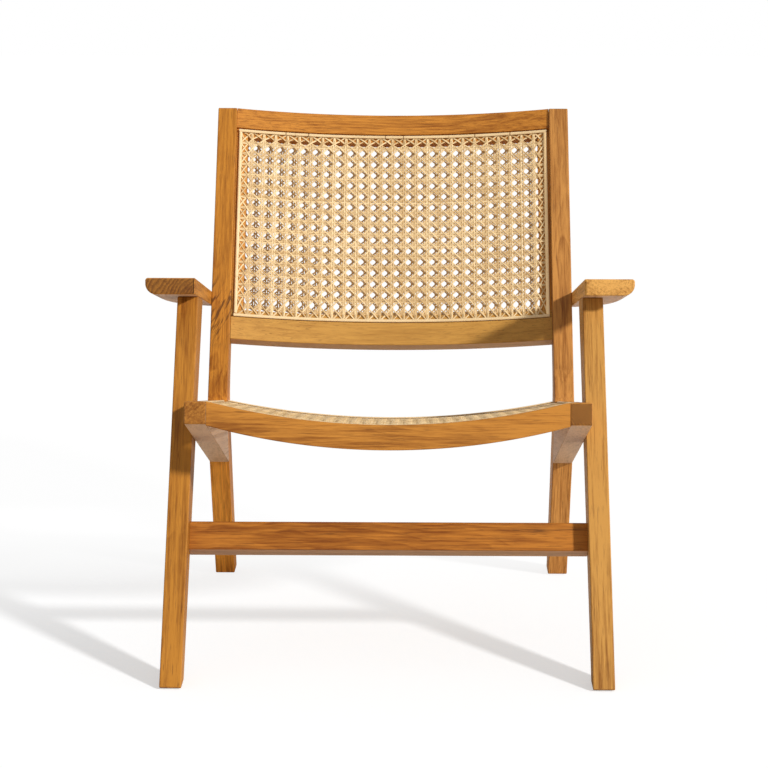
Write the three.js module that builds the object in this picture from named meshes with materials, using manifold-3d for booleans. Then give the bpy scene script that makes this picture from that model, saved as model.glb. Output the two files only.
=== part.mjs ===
// A low lounge chair of teak, with a caned seat and a back that is caned on both faces.
// Millimetres, +Z up, the front towards -Y, X across the chair and its right side on +X.
// The origin is on the floor, under the middle of the chair.
// The side frames are drawn in the side plane, as points (y, z) counted from the front of the front feet.

import * as THREE from "three";
import { mergeVertices } from "three/addons/utils/BufferGeometryUtils.js";
import Module from "manifold-3d";

const wasm = await Module();
wasm.setup();

// Clearances that every joint shares
const fit = 0.3;
const overrun = 2;

// Boards of the side frames, seen from the front
const seatClearWidth = 498;
const sideBoard = 30;

// Glides under the feet
const glideHeight = 1.5;
const glideRadius = 9;
const glidePinRadius = 1.6;
const glidePinLength = 12;

// Side rails of the seat, seen from the side
const seatPitch = 11;
const seatHeight = 378.8;
const railSetback = 100.8;
const railTopLength = 394;
const railFrontHeight = 30.8;
const railJointHeight = 103;
const railJointLean = 12.3;
const railTenonDrop = 34;
const railTenonHeight = 46;
const railTenonReach = 56;
const tenonThickness = 10;

// Front legs
const frontLegLean = 35.4;
const frontFootThickness = 32;
const frontTopThickness = 72;

// Bent rear legs, lower leg and back stile in one board
const backLean = 33;
const stileLength = 504.6;
const stileTopThickness = 32;
const stileKneeThickness = 44;
const shankLean = 24.8;
const shankKneeThickness = 57;
const rearFootThickness = 43;
const kneeRadius = 80;

// Armrests
const armPitch = 12.4;
const armLength = 330;
const armJointRise = 178.9;
const armRearReach = 19.6;
const armWidth = 72;
const armRearWidth = 22;
const armStraightLength = 60;
const armDrawIn = 4.5;
const armStationBias = 1.5;
const armThickness = 24;
const armRearThickness = 21;
const armUnderRound = 16;
const armTopRound = 4;

// Front stretcher, turned with the front legs
const stretcherRise = 211.6;
const stretcherHeight = 42;
const stretcherThickness = 24;
const stretcherSetback = 23.5;
const stretcherTenonHeight = 26;

// Cross rails: the tenon at each end
const tenonLength = 18;
const tenonShoulder = 6;

// Seat rails, their sagging tops, and the rebate that the seat cane lies in
const seatRailThickness = 24;
const frontRailHeight = 32.8;
const rearRailHeight = 34;
const seatRailBelly = 2;
const frontSag = 31;
const rearSag = 25;
const caneRise = 3;
const sagShoulder = 3;
const rearRailSetback = 6;
const seatRebateDepth = 3.6;
const seatLedgeWidth = 8;
const seatSplineWidth = 7;
const seatSideLedge = 11;
const seatSideLedgeStop = 6;
const seatSplineProud = 0.4;

// Rebates, tongues, cane, splines and battens of the back
const backLedgeWidth = 6.5;
const backTongueHeight = 14;
const rebateDepth = 5;
const caneThickness = 1.6;
const backSplineWidth = 5;
const splineReveal = 0.2;
const battenWidth = 14;

// Back frame between the stiles
const backRailThickness = 23;
const backRearInset = 5;
const backRise = 2;
const topRailHeight = 34.5;
const bottomRailHeight = 37;
const backOpeningHeight = 326;
const backBow = 25;
const backSideGap = 4;

// Cane nets: holes across and along, and the share of the pitch that a hole takes
const holesAcross = 13;
const holesUpBack = 8;
const holesAlongSeat = 10;
const holeShare = 0.55;

// Pins, screws and dowels
const pinRadius = 1.2;
const pinLength = 18;
const pinFromStileFace = 4;
const screwHeadRadius = 6;
const screwHeadHeight = 3;
const screwRadius = 2.5;
const screwPointLength = 4;
const legScrewLength = 48;
const legScrewSpread = 28;
const armScrewLength = 50;
const dowelRadius = 4;
const dowelLength = 28;
const dowelShareInLeg = 0.5;
const dowelSpread = 36;

// Steps on curves
const arcSteps = 12;
const roundSteps = 12;
const armSteps = 14;
const armCornerSteps = 4;

// Places across the chair that follow from the sizes above
const railInner = seatClearWidth / 2;
const railOuter = railInner + sideBoard;
const legOuter = railOuter + sideBoard;
const boardMiddle = (railInner + railOuter) / 2;
const legMiddle = (railOuter + legOuter) / 2;
const splineThickness = rebateDepth - caneThickness - 2 * fit - splineReveal;
const seatCaneLow = -seatRebateDepth + fit;
const seatSplineLow = seatCaneLow + caneThickness + fit;

// Side plane: points, directions and where two lines meet
const at = (y, z) => new THREE.Vector2(y, z);
const radians = THREE.MathUtils.degToRad;
const leaning = (degrees) => at(Math.sin(radians(degrees)), Math.cos(radians(degrees)));
const squareTo = (direction) => at(direction.y, -direction.x);
const step = (point, direction, length) => point.clone().addScaledVector(direction, length);
const towards = (from, to) => to.clone().sub(from).normalize();
const level = at(1, 0);

function meet(point, direction, other, otherDirection) {
  const between = other.clone().sub(point);
  const travel = between.cross(otherDirection) / direction.cross(otherDirection);
  return step(point, direction, travel);
}

// The frame of a leaning line: local z runs up it and local y square to it, towards the back
function frameAt(point, degrees) {
  const matrix = new THREE.Matrix4().makeRotationX(-radians(degrees));
  return matrix.setPosition(0, point.x, point.y);
}

function groupAt(point, degrees) {
  const group = new THREE.Group();
  group.position.set(0, point.x, point.y);
  group.rotation.x = -radians(degrees);
  return group;
}

function inFrame(point, origin, degrees) {
  const up = leaning(degrees);
  const from = point.clone().sub(origin);
  return at(from.dot(squareTo(up)), from.dot(up));
}

// The foot that the side plane is counted from
const frontFoot = at(0, glideHeight);

// Side rail and bent leg outlines, which share the joint from kneeTop to kneeLow
const seatUp = leaning(seatPitch);
const seatBack = squareTo(seatUp);
const railTopFront = at(railSetback, seatHeight);
const railLowFront = step(railTopFront, seatUp, -railFrontHeight);
const kneeTop = step(railTopFront, seatBack, railTopLength);
const kneeLow = step(kneeTop, leaning(-railJointLean), -railJointHeight);
const stileUp = leaning(backLean);
const stileBack = squareTo(stileUp);
const stileTop = step(kneeTop, stileUp, stileLength);
const stileTopRear = step(stileTop, stileBack, stileTopThickness);
const stileRearLine = towards(step(kneeTop, stileBack, stileKneeThickness), stileTopRear);
const shankUp = leaning(-shankLean);
const shankBack = squareTo(shankUp);
const rearFoot = meet(kneeLow, shankUp, frontFoot, level);
const rearFootBack = step(rearFoot, shankBack, rearFootThickness);
const shankRearLine = towards(rearFootBack, step(kneeLow, shankBack, shankKneeThickness));
const rearFootRear = meet(rearFootBack, shankRearLine, frontFoot, level);
const kneeRear = meet(stileTopRear, stileRearLine, rearFootBack, shankRearLine);

// Armrest lines. The arm is fixed to the stile by the screw through the middle of both.
const armUp = leaning(armPitch);
const armBack = squareTo(armUp);
const stileMiddleLow = step(kneeTop, stileBack, stileKneeThickness / 2);
const stileMiddleHigh = step(stileTop, stileBack, stileTopThickness / 2);
const armScrewPlace = step(stileMiddleLow, towards(stileMiddleLow, stileMiddleHigh), armJointRise);
const armScrewSetback = armLength - armRearReach;
const armThicknessAt = (y) => THREE.MathUtils.lerp(armThickness, armRearThickness, y / armLength);
const armTopAtScrew = step(armScrewPlace, armUp, armThicknessAt(armScrewSetback) / 2);
const armTopFront = step(armTopAtScrew, armBack, -armScrewSetback);
const armUnderFront = step(armTopFront, armUp, -armThickness);
const armUnderRear = step(step(armTopFront, armBack, armLength), armUp, -armRearThickness);
const armUnderLine = towards(armUnderFront, armUnderRear);

// Front leg outline
const frontUp = leaning(frontLegLean);
const frontAcross = squareTo(frontUp);
const underArm = step(armUnderFront, armUp, -fit);
const frontLegTop = meet(frontFoot, frontUp, underArm, armUnderLine);
const frontFootBack = step(frontFoot, frontAcross, frontFootThickness);
const frontRearLine = towards(frontFootBack, step(frontLegTop, frontAcross, frontTopThickness));
const frontFootRear = meet(frontFootBack, frontRearLine, frontFoot, level);
const frontLegTopRear = meet(frontFootBack, frontRearLine, underArm, armUnderLine);

// The back frame lies parallel to the stiles' rear faces.
// Its local y = 0 is the rails' front face at the stiles.
const backFrameLean = THREE.MathUtils.radToDeg(Math.atan2(stileRearLine.x, stileRearLine.y));
const backFrameUp = leaning(backFrameLean);
const backFrameBack = squareTo(backFrameUp);
const backFrameFront = step(stileTopRear, backFrameBack, -(backRearInset + backRailThickness));
const backFrameTop = step(backFrameFront, backFrameUp, backRise);
const backFrameRear = step(backFrameTop, backFrameBack, backBow + backRailThickness);
const overallDepth = backFrameRear.x;

// Places in the back frame, as local z
const bottomRailTop = -(topRailHeight + backOpeningHeight);
const bottomRailLow = bottomRailTop - bottomRailHeight;
const topLedgeLow = -(topRailHeight + backLedgeWidth);
const bottomLedgeTop = bottomRailTop + backLedgeWidth;
const topTongueLow = -(topRailHeight + backTongueHeight);
const bottomTongueTop = bottomRailTop + backTongueHeight;
const backNetHalf = railInner - backSideGap;

// Places in the seat frame, as local y behind the rails' front ends
const frontLedge = seatRailThickness - seatLedgeWidth;
const rearRailFront = railTopLength + rearRailSetback;
const rearRailBack = rearRailFront + seatRailThickness;
const rearLedge = rearRailFront + seatLedgeWidth;
const sagHalf = railInner - sagShoulder;
const sideLedgeEnd = railTopLength - seatSideLedgeStop;
const sideLedgeOuter = railInner + seatSideLedge;
const seatNetHalf = railInner - 2 * fit;
const sagLines = netLines(-seatNetHalf, seatNetHalf, seatNetHalf - sagHalf, holesAcross);

// Solids: turning geometry into closed solids and back, to cut and to join
function solidOf(geometry) {
  const bare = geometry.clone();
  bare.deleteAttribute("normal");
  bare.deleteAttribute("uv");
  const merged = mergeVertices(bare);
  const vertProperties = new Float32Array(merged.attributes.position.array);
  const triVerts = new Uint32Array(merged.index.array);
  return new wasm.Manifold(new wasm.Mesh({ numProp: 3, vertProperties, triVerts }));
}

function geometryOf(solid) {
  const mesh = solid.getMesh();
  const geometry = new THREE.BufferGeometry();
  geometry.setAttribute("position", new THREE.BufferAttribute(mesh.vertProperties.slice(), 3));
  geometry.setIndex(new THREE.BufferAttribute(mesh.triVerts.slice(), 1));
  geometry.computeVertexNormals();
  return geometry;
}

function cut(geometry, tools) {
  return geometryOf(tools.reduce((body, tool) => body.subtract(solidOf(tool)), solidOf(geometry)));
}

function join(geometry, additions) {
  return geometryOf(additions.reduce((body, addition) => body.add(solidOf(addition)), solidOf(geometry)));
}

// The same solid on the other side of the chair
function mirrored(geometry) {
  const flipped = geometry.clone();
  flipped.scale(-1, 1, 1);
  const unshared = [...Array(flipped.attributes.position.count).keys()];
  const index = flipped.index ? Array.from(flipped.index.array) : unshared;
  const turned = index.map((_, place) => index[place - (place % 3) + (3 - (place % 3)) % 3]);
  flipped.setIndex(turned);
  flipped.computeVertexNormals();
  return flipped;
}

// Plain solids
function box(xFrom, xTo, yFrom, yTo, zFrom, zTo) {
  const geometry = new THREE.BoxGeometry(xTo - xFrom, yTo - yFrom, zTo - zFrom);
  return geometry.translate((xFrom + xTo) / 2, (yFrom + yTo) / 2, (zFrom + zTo) / 2);
}

// A board in the side plane: a shape of (y, z) points, carried along X from xFrom to xTo
function board(shape, xFrom, xTo) {
  const options = { depth: xTo - xFrom, bevelEnabled: false, curveSegments: arcSteps };
  const geometry = new THREE.ExtrudeGeometry(shape, options);
  return geometry.rotateX(Math.PI / 2).rotateZ(Math.PI / 2).translate(xFrom, 0, 0);
}

// A turned solid along +X from x = 0, from a profile of (radius, distance) points
function turned(profile) {
  const points = profile.map(([radius, distance]) => at(radius, distance));
  return new THREE.LatheGeometry(points, roundSteps).rotateZ(-Math.PI / 2);
}

function rod(radius, length) {
  return turned([[0, 0], [radius, 0], [radius, length], [0, length]]);
}

// A screw along +X, its head first; room widens it all round for the hole it goes in
function screw(length, room) {
  const head = screwHeadRadius + room;
  const shank = screwRadius + room;
  const end = length + room;
  const profile = [
    [0, -room],
    [head, -room],
    [head, screwHeadHeight / 3],
    [shank, screwHeadHeight],
    [shank, end - screwPointLength],
    [shank / 3, end],
    [0, end],
  ];
  return turned(profile);
}

// A corner of an outline, rounded with an arc
function roundCorner(shape, before, corner, after, radius) {
  const arriving = towards(corner, before);
  const leaving = towards(corner, after);
  const half = Math.acos(THREE.MathUtils.clamp(arriving.dot(leaving), -1, 1)) / 2;
  const inward = arriving.clone().add(leaving).normalize();
  const centre = step(corner, inward, radius / Math.sin(half));
  const start = step(corner, arriving, radius / Math.tan(half));
  const end = step(corner, leaving, radius / Math.tan(half));
  const from = Math.atan2(start.y - centre.y, start.x - centre.x);
  const to = Math.atan2(end.y - centre.y, end.x - centre.x);
  const clockwise = arriving.cross(leaving) > 0;
  shape.lineTo(start.x, start.y);
  shape.absarc(centre.x, centre.y, radius, from, to, clockwise);
}

function outline(points) {
  return new THREE.Shape(points);
}

// The back's bow: a circle through the stiles, deepest in the middle. Depth is counted from the front face.
const bowRadius = (railInner ** 2 + backBow ** 2) / (2 * backBow);
const bowAt = (x, depth) => Math.sqrt((bowRadius + depth) ** 2 - x ** 2) + backBow - bowRadius;

function bowedBand(xFrom, xTo, depthFrom, depthTo, zFrom, zTo) {
  const shape = new THREE.Shape();
  const centre = backBow - bowRadius;
  const front = bowRadius + depthFrom;
  const rear = bowRadius + depthTo;
  shape.moveTo(xTo, bowAt(xTo, depthFrom));
  shape.absarc(0, centre, front, Math.acos(xTo / front), Math.acos(xFrom / front), false);
  shape.lineTo(xFrom, bowAt(xFrom, depthTo));
  shape.absarc(0, centre, rear, Math.acos(xFrom / rear), Math.acos(xTo / rear), true);
  const curveSegments = Math.ceil(arcSteps * (xTo - xFrom) / seatClearWidth);
  const options = { depth: zTo - zFrom, bevelEnabled: false, curveSegments };
  return new THREE.ExtrudeGeometry(shape, options).translate(0, 0, zFrom);
}

// The seat's sag: level at the shoulders and an arc between them
function sagAt(x, sag) {
  const radius = (sagHalf ** 2 + sag ** 2) / (2 * sag);
  const inward = Math.min(Math.abs(x), sagHalf);
  return radius - sag - Math.sqrt(radius ** 2 - inward ** 2);
}

// The cane sags with the rails at its ends and less between them, drawn up by its own tension
function sagAlong(y) {
  const front = frontLedge + seatLedgeWidth;
  const share = THREE.MathUtils.clamp((y - front) / (rearRailFront - front), 0, 1);
  return THREE.MathUtils.lerp(frontSag, rearSag, share) - 4 * caneRise * share * (1 - share);
}

// A bar between two sagging lines, given as functions of x, and between two places along the seat
function saggingBar(half, topAt, lowAt, yFrom, yTo) {
  const places = [-half, ...sagLines.slice(1, -1), half];
  const lowPoints = places.map((x) => at(x, lowAt(x)));
  const topPoints = places.map((x) => at(x, topAt(x))).reverse();
  const options = { depth: yTo - yFrom, bevelEnabled: false };
  const geometry = new THREE.ExtrudeGeometry(outline([...lowPoints, ...topPoints]), options);
  return geometry.rotateX(Math.PI / 2).translate(0, yTo, 0);
}

const sagging = (sag, height) => (x) => sagAt(x, sag) + height;
const undersideStretch = railInner / sagHalf;

// A net: holes in a thin curved sheet. place(a, b, side) gives a point on its face or its back.
function net(acrossLines, alongLines, place) {
  const columns = acrossLines.length;
  const rows = alongLines.length;
  const positions = [];
  for (const side of [0, 1]) {
    alongLines.forEach((b) => acrossLines.forEach((a) => positions.push(...place(a, b, side))));
  }
  const vertex = (column, row, side) => side * columns * rows + row * columns + column;
  const inside = (column, row) => column >= 0 && row >= 0 && column < columns - 1 && row < rows - 1;
  const filled = (column, row) => inside(column, row) && !(column % 2 === 1 && row % 2 === 1);
  const index = [];
  const quad = (a, b, c, d) => index.push(a, b, c, a, c, d);
  for (let row = 0; row < rows - 1; row += 1) {
    for (let column = 0; column < columns - 1; column += 1) {
      if (filled(column, row)) {
        const corner = (right, up, side) => vertex(column + right, row + up, side);
        const wall = (a, b, c, d) => quad(corner(...a), corner(...b), corner(...c), corner(...d));
        quad(corner(0, 0, 0), corner(1, 0, 0), corner(1, 1, 0), corner(0, 1, 0));
        quad(corner(0, 0, 1), corner(0, 1, 1), corner(1, 1, 1), corner(1, 0, 1));
        if (!filled(column, row - 1)) wall([0, 0, 1], [1, 0, 1], [1, 0, 0], [0, 0, 0]);
        if (!filled(column, row + 1)) wall([0, 1, 0], [1, 1, 0], [1, 1, 1], [0, 1, 1]);
        if (!filled(column - 1, row)) wall([0, 1, 1], [0, 0, 1], [0, 0, 0], [0, 1, 0]);
        if (!filled(column + 1, row)) wall([1, 0, 1], [1, 1, 1], [1, 1, 0], [1, 0, 0]);
      }
    }
  }
  const geometry = new THREE.BufferGeometry();
  geometry.setAttribute("position", new THREE.Float32BufferAttribute(positions, 3));
  geometry.setIndex(index);
  geometry.computeVertexNormals();
  return geometry;
}

// Lines of a net between two edges: a border, then a hole and a bar in turn, and a border
function netLines(from, to, border, holes) {
  const first = from + border;
  const pitch = (to - border - first) / (holes - 1 + holeShare);
  const holeLine = (_, hole) => [first + hole * pitch, first + (hole + holeShare) * pitch];
  const holeLines = Array.from({ length: holes }, holeLine);
  return [from, ...holeLines.flat(), to];
}

// A solid through rings of points, each ring a convex section, from the first ring to the last
function loft(rings) {
  const count = rings[0].length;
  const positions = rings.flat().flatMap((point) => point.toArray());
  const index = [];
  for (let ring = 0; ring < rings.length - 1; ring += 1) {
    for (let side = 0; side < count; side += 1) {
      const a = ring * count + side;
      const b = ring * count + (side + 1) % count;
      index.push(a, b + count, b, a, a + count, b + count);
    }
  }
  const last = (rings.length - 1) * count;
  for (let side = 1; side < count - 1; side += 1) {
    index.push(0, side, side + 1);
    index.push(last, last + side + 1, last + side);
  }
  const geometry = new THREE.BufferGeometry();
  geometry.setAttribute("position", new THREE.Float32BufferAttribute(positions, 3));
  geometry.setIndex(index);
  geometry.computeVertexNormals();
  return geometry;
}

// Joints: what goes into a board, as tenon shapes, and the mortise that each needs
const seatFrame = frameAt(railTopFront, seatPitch);
const backFrame = frameAt(backFrameTop, backFrameLean);
const frontLegFrame = frameAt(frontFoot, frontLegLean);
const armFrame = frameAt(armTopFront, armPitch);

function railTenon(room) {
  const half = tenonThickness / 2 + room;
  const top = -railTenonDrop + room;
  const low = -railTenonDrop - railTenonHeight - room;
  const root = railTopLength - tenonLength;
  const end = railTopLength + railTenonReach + room;
  return box(boardMiddle - half, boardMiddle + half, root, end, low, top);
}

// A tenon at the right end of a cross rail, from its shoulder outwards
function crossTenon(shoulderX, yMiddle, zFrom, zTo, room) {
  const half = tenonThickness / 2 + room;
  const end = shoulderX + tenonLength + room;
  return box(shoulderX - overrun, end, yMiddle - half, yMiddle + half, zFrom - room, zTo + room);
}

const frontRailMiddle = seatRailThickness / 2;
const rearRailMiddle = (rearRailFront + rearRailBack) / 2;
const rearTenonLow = -railTenonDrop + tenonShoulder;
const backRailMiddle = bowAt(railInner, 0) + backRailThickness / 2;
const frontRailTenon = (room) =>
  crossTenon(railInner, frontRailMiddle, -frontRailHeight + tenonShoulder, -tenonShoulder, room);
const rearRailTenon = (room) =>
  crossTenon(railInner, rearRailMiddle, rearTenonLow, -tenonShoulder, room);
const topRailTenon = (room) =>
  crossTenon(railInner, backRailMiddle, -topRailHeight + tenonShoulder, -tenonShoulder, room);
const bottomRailTenon = (room) =>
  crossTenon(railInner, backRailMiddle, bottomRailLow + tenonShoulder, bottomRailTop - tenonShoulder, room);
const stretcherMiddle = stretcherSetback + stretcherThickness / 2;
const stretcherTenonLow = stretcherRise + (stretcherHeight - stretcherTenonHeight) / 2;
const stretcherTenon = (room) =>
  crossTenon(railOuter, stretcherMiddle, stretcherTenonLow, stretcherTenonLow + stretcherTenonHeight, room);

// Pins through the back rails' tenons, driven from the stiles' front faces
const topPinHeight = -topRailHeight + 2 * tenonShoulder;
const bottomPinHeight = bottomRailLow + 2 * tenonShoulder;
const pinX = railInner + pinFromStileFace;

function stileFaceAt(height) {
  const onFace = inFrame(stileTop, backFrameTop, backFrameLean);
  const lower = inFrame(kneeTop, backFrameTop, backFrameLean);
  return THREE.MathUtils.mapLinear(height, onFace.y, lower.y, onFace.x, lower.x);
}

function pin(height, room) {
  const start = stileFaceAt(height) + (room > 0 ? -overrun : fit);
  const end = stileFaceAt(height) + fit + pinLength + room;
  return rod(pinRadius + room, end - start).rotateZ(Math.PI / 2).translate(pinX, start, height);
}

// Screws that hold a front leg to its side rail, spread along the rail about where their middles cross
const railMiddleFront = step(railTopFront, seatUp, -railFrontHeight / 2);
const railMiddleRear = kneeTop.clone().add(kneeLow).multiplyScalar(1 / 2);
const railMiddleLine = towards(railMiddleFront, railMiddleRear);
const legMiddleLow = step(frontFoot, frontAcross, frontFootThickness / 2);
const legMiddleHigh = step(frontLegTop, frontAcross, frontTopThickness / 2);
const legCrossing = meet(legMiddleLow, towards(legMiddleLow, legMiddleHigh), railMiddleFront, railMiddleLine);
const legScrewPlaces = {
  front: step(legCrossing, railMiddleLine, -legScrewSpread / 2),
  rear: step(legCrossing, railMiddleLine, legScrewSpread / 2),
};
const legScrew = (place, room) => screw(legScrewLength, room).translate(railInner, place.x, place.y);

// The screw through the stile into the armrest
const armScrew = (room) => screw(armScrewLength, room).translate(railInner, armScrewPlace.x, armScrewPlace.y);

// Dowels between a front leg and its armrest, square to the armrest
const legTopCentre = frontLegTop.clone().add(frontLegTopRear).multiplyScalar(1 / 2);
const legTopMiddle = inFrame(legTopCentre, armTopFront, armPitch);
const dowelPlaces = { front: legTopMiddle.x - dowelSpread / 2, rear: legTopMiddle.x + dowelSpread / 2 };

function dowel(place, room) {
  const low = legTopMiddle.y - dowelLength * dowelShareInLeg - room;
  const upright = rod(dowelRadius + room, dowelLength + 2 * room).rotateY(-Math.PI / 2);
  return upright.translate(legMiddle, place, low);
}

// Glides under the feet, and the pin that holds each
const frontGlideY = (frontFoot.x + frontFootRear.x) / 2;
const rearGlideY = (rearFoot.x + rearFootRear.x) / 2;

function glide() {
  const top = glideHeight + glidePinLength;
  const profile = [
    [0, 0],
    [glideRadius, 0],
    [glideRadius, glideHeight],
    [glidePinRadius, glideHeight],
    [glidePinRadius, top],
    [0, top],
  ];
  return turned(profile).rotateY(-Math.PI / 2);
}

function glideHole(x, y) {
  const hole = rod(glidePinRadius + fit, glidePinLength + overrun + fit).rotateY(-Math.PI / 2);
  return hole.translate(x, y, glideHeight - overrun);
}

const moved = (geometry, frame) => geometry.applyMatrix4(frame);

// Side frame, right side
function frontLeg() {
  const shape = outline([frontFoot, frontFootRear, frontLegTopRear, frontLegTop]);
  return cut(board(shape, railOuter, legOuter), [
    moved(stretcherTenon(fit), frontLegFrame),
    moved(dowel(dowelPlaces.front, fit), armFrame),
    moved(dowel(dowelPlaces.rear, fit), armFrame),
    legScrew(legScrewPlaces.front, fit),
    legScrew(legScrewPlaces.rear, fit),
    glideHole(legMiddle, frontGlideY),
  ]);
}

function rearLeg() {
  const shape = new THREE.Shape();
  shape.moveTo(stileTop.x, stileTop.y);
  shape.lineTo(kneeTop.x, kneeTop.y);
  shape.lineTo(kneeLow.x, kneeLow.y);
  shape.lineTo(rearFoot.x, rearFoot.y);
  shape.lineTo(rearFootRear.x, rearFootRear.y);
  roundCorner(shape, rearFootRear, kneeRear, stileTopRear, kneeRadius);
  shape.lineTo(stileTopRear.x, stileTopRear.y);
  return cut(board(shape, railInner, railOuter), [
    moved(railTenon(fit), seatFrame),
    moved(rearRailTenon(fit), seatFrame),
    moved(topRailTenon(fit), backFrame),
    moved(bottomRailTenon(fit), backFrame),
    moved(pin(topPinHeight, fit), backFrame),
    moved(pin(bottomPinHeight, fit), backFrame),
    armScrew(fit),
    glideHole(boardMiddle, rearGlideY),
  ]);
}

// The rebate along a side rail's inner top edge, for the cane's side edge and its spline
const sideLedge = () =>
  box(railInner - overrun, sideLedgeOuter, frontLedge, sideLedgeEnd, -seatRebateDepth, overrun);

function sideRail() {
  const topRear = step(kneeTop, seatBack, -fit);
  const lowRear = step(kneeLow, seatBack, -fit);
  const shape = outline([railTopFront, railLowFront, lowRear, topRear]);
  const withTenon = join(board(shape, railInner, railOuter), [moved(railTenon(0), seatFrame)]);
  return cut(withTenon, [
    moved(frontRailTenon(fit), seatFrame),
    moved(sideLedge(), seatFrame),
    legScrew(legScrewPlaces.front, fit),
    legScrew(legScrewPlaces.rear, fit),
  ]);
}

// Armrest: sections across it, wide and square at the front and drawn in to the stile at the rear
function armSection(y) {
  const along = THREE.MathUtils.clamp((y - armStraightLength) / (armLength - armStraightLength), 0, 1);
  const width = armWidth - (armWidth - armRearWidth) * along ** armDrawIn;
  const thickness = armThicknessAt(y);
  const section = [[0, 0], [0, -thickness]];
  for (let corner = 0; corner <= armCornerSteps; corner += 1) {
    const turn = (corner / armCornerSteps) * Math.PI / 2;
    const outwards = width - armUnderRound * (1 - Math.sin(turn));
    const upwards = armUnderRound * (1 - Math.cos(turn)) - thickness;
    section.push([outwards, upwards]);
  }
  section.push([width, -armTopRound], [width - armTopRound, 0]);
  return section.map(([x, z]) => new THREE.Vector3(railOuter + x, y, z));
}

function armrest() {
  const stationAt = (_, place) => 1 - (1 - place / armSteps) ** armStationBias;
  const stations = Array.from({ length: armSteps + 1 }, stationAt);
  const rings = stations.map((station) => armSection(armLength * station));
  const holes = [dowel(dowelPlaces.front, fit), dowel(dowelPlaces.rear, fit)];
  const screwHole = armScrew(fit).applyMatrix4(armFrame.clone().invert());
  return cut(loft(rings), [...holes, screwHole]);
}

// Cross rails, each symmetric about the middle of the chair
const bothSides = (tenon) => [tenon, mirrored(tenon)];

function stretcher() {
  const half = railOuter - fit;
  const rear = stretcherSetback + stretcherThickness;
  const top = stretcherRise + stretcherHeight;
  const body = box(-half, half, stretcherSetback, rear, stretcherRise, top);
  return join(body, bothSides(stretcherTenon(0)));
}

function seatRail(sag, height, yFrom, ledgeFrom, tenon) {
  const underside = (x) => sagAt(x / undersideStretch, sag + seatRailBelly) - height;
  const floor = sagging(sag, -seatRebateDepth);
  const body = saggingBar(railInner - fit, sagging(sag, 0), underside, yFrom, yFrom + seatRailThickness);
  const ledgeTo = ledgeFrom + seatLedgeWidth + overrun;
  const rebate = saggingBar(railInner, sagging(sag, overrun), floor, ledgeFrom, ledgeTo);
  return join(cut(body, [rebate]), bothSides(tenon));
}

const seatFrontRail = () => seatRail(frontSag, frontRailHeight, 0, frontLedge, frontRailTenon(0));
const seatRearRail = () =>
  seatRail(rearSag, rearRailHeight, rearRailFront, rearRailFront - overrun, rearRailTenon(0));

function backRail(zFrom, zTo, tongueFrom, tongueTo, tenon, pinHeight) {
  const half = railInner - fit;
  const face = bowedBand(-half, half, 0, backRailThickness, zFrom, zTo);
  const tongue = bowedBand(-half, half, rebateDepth, backRailThickness - rebateDepth, tongueFrom, tongueTo);
  return cut(join(face, [tongue, ...bothSides(tenon)]), bothSides(pin(pinHeight, fit)));
}

const topTongueTop = -topRailHeight + overrun;
const bottomTongueLow = bottomRailTop - overrun;
const topTenon = topRailTenon(0);
const bottomTenon = bottomRailTenon(0);
const backTopRail = () =>
  backRail(-topRailHeight, 0, topTongueLow, topTongueTop, topTenon, topPinHeight);
const backBottomRail = () =>
  backRail(bottomRailLow, bottomRailTop, bottomTongueLow, bottomTongueTop, bottomTenon, bottomPinHeight);

// Battens that carry the side edges of the cane
function backBatten() {
  const inner = backNetHalf - battenWidth;
  const outer = railInner - fit;
  const rear = backRailThickness - rebateDepth;
  return bowedBand(inner, outer, rebateDepth, rear, bottomTongueTop + fit, topTongueLow - fit);
}

// Cane: the front sheet of the back, its rear sheet and the seat, each a net on its own curved surface
function backNet(depth) {
  const across = netLines(-backNetHalf, backNetHalf, battenWidth, holesAcross);
  const up = netLines(bottomRailTop + fit, -topRailHeight - fit, backTongueHeight, holesUpBack);
  return net(across, up, (x, z, side) => [x, bowAt(x, depth + side * caneThickness), z]);
}

const backFrontNet = () => backNet(rebateDepth - fit - caneThickness);
const backRearNet = () => backNet(backRailThickness - rebateDepth + fit);

function seatNet() {
  const along = netLines(frontLedge + fit, rearLedge - fit, seatLedgeWidth, holesAlongSeat);
  const depth = (side) => seatCaneLow + (1 - side) * caneThickness;
  const sheet = net(sagLines, along, (x, y, side) => [x, y, sagAt(x, sagAlong(y)) + depth(side)]);
  const edge = box(sagHalf, sideLedgeOuter - fit, frontLedge + fit, sideLedgeEnd - fit, depth(1), depth(0));
  return join(sheet, bothSides(edge));
}

// Splines that cover the edges of the cane
const frontSplineDepth = splineReveal;
const rearSplineDepth = backRailThickness - splineReveal - splineThickness;

function backSplineAcross(depth, zLow) {
  return bowedBand(-backNetHalf, backNetHalf, depth, depth + splineThickness, zLow, zLow + backSplineWidth);
}

function backSplineSide(depth) {
  const inner = backNetHalf - backSplineWidth;
  const rear = depth + splineThickness;
  return bowedBand(inner, backNetHalf, depth, rear, bottomLedgeTop + fit, topLedgeLow - fit);
}

const topSplineLow = topLedgeLow;
const bottomSplineLow = bottomLedgeTop - backSplineWidth;
const seatSplineOuter = sideLedgeOuter - fit;
const seatSplineInner = seatSplineOuter - seatSplineWidth;

function seatSplineAcross(half, sag, yFrom) {
  const top = sagging(sag, seatSplineProud);
  const low = sagging(sag, seatSplineLow);
  return saggingBar(half, top, low, yFrom, yFrom + seatSplineWidth);
}

const seatSplineFront = () => seatSplineAcross(seatSplineInner - fit, frontSag, frontLedge + fit);
const seatSplineRear = () => seatSplineAcross(seatNetHalf, rearSag, rearLedge - fit - seatSplineWidth);
const seatSplineSide = () =>
  box(seatSplineInner, seatSplineOuter, frontLedge + fit, sideLedgeEnd - fit, seatSplineLow, seatSplineProud);

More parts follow.
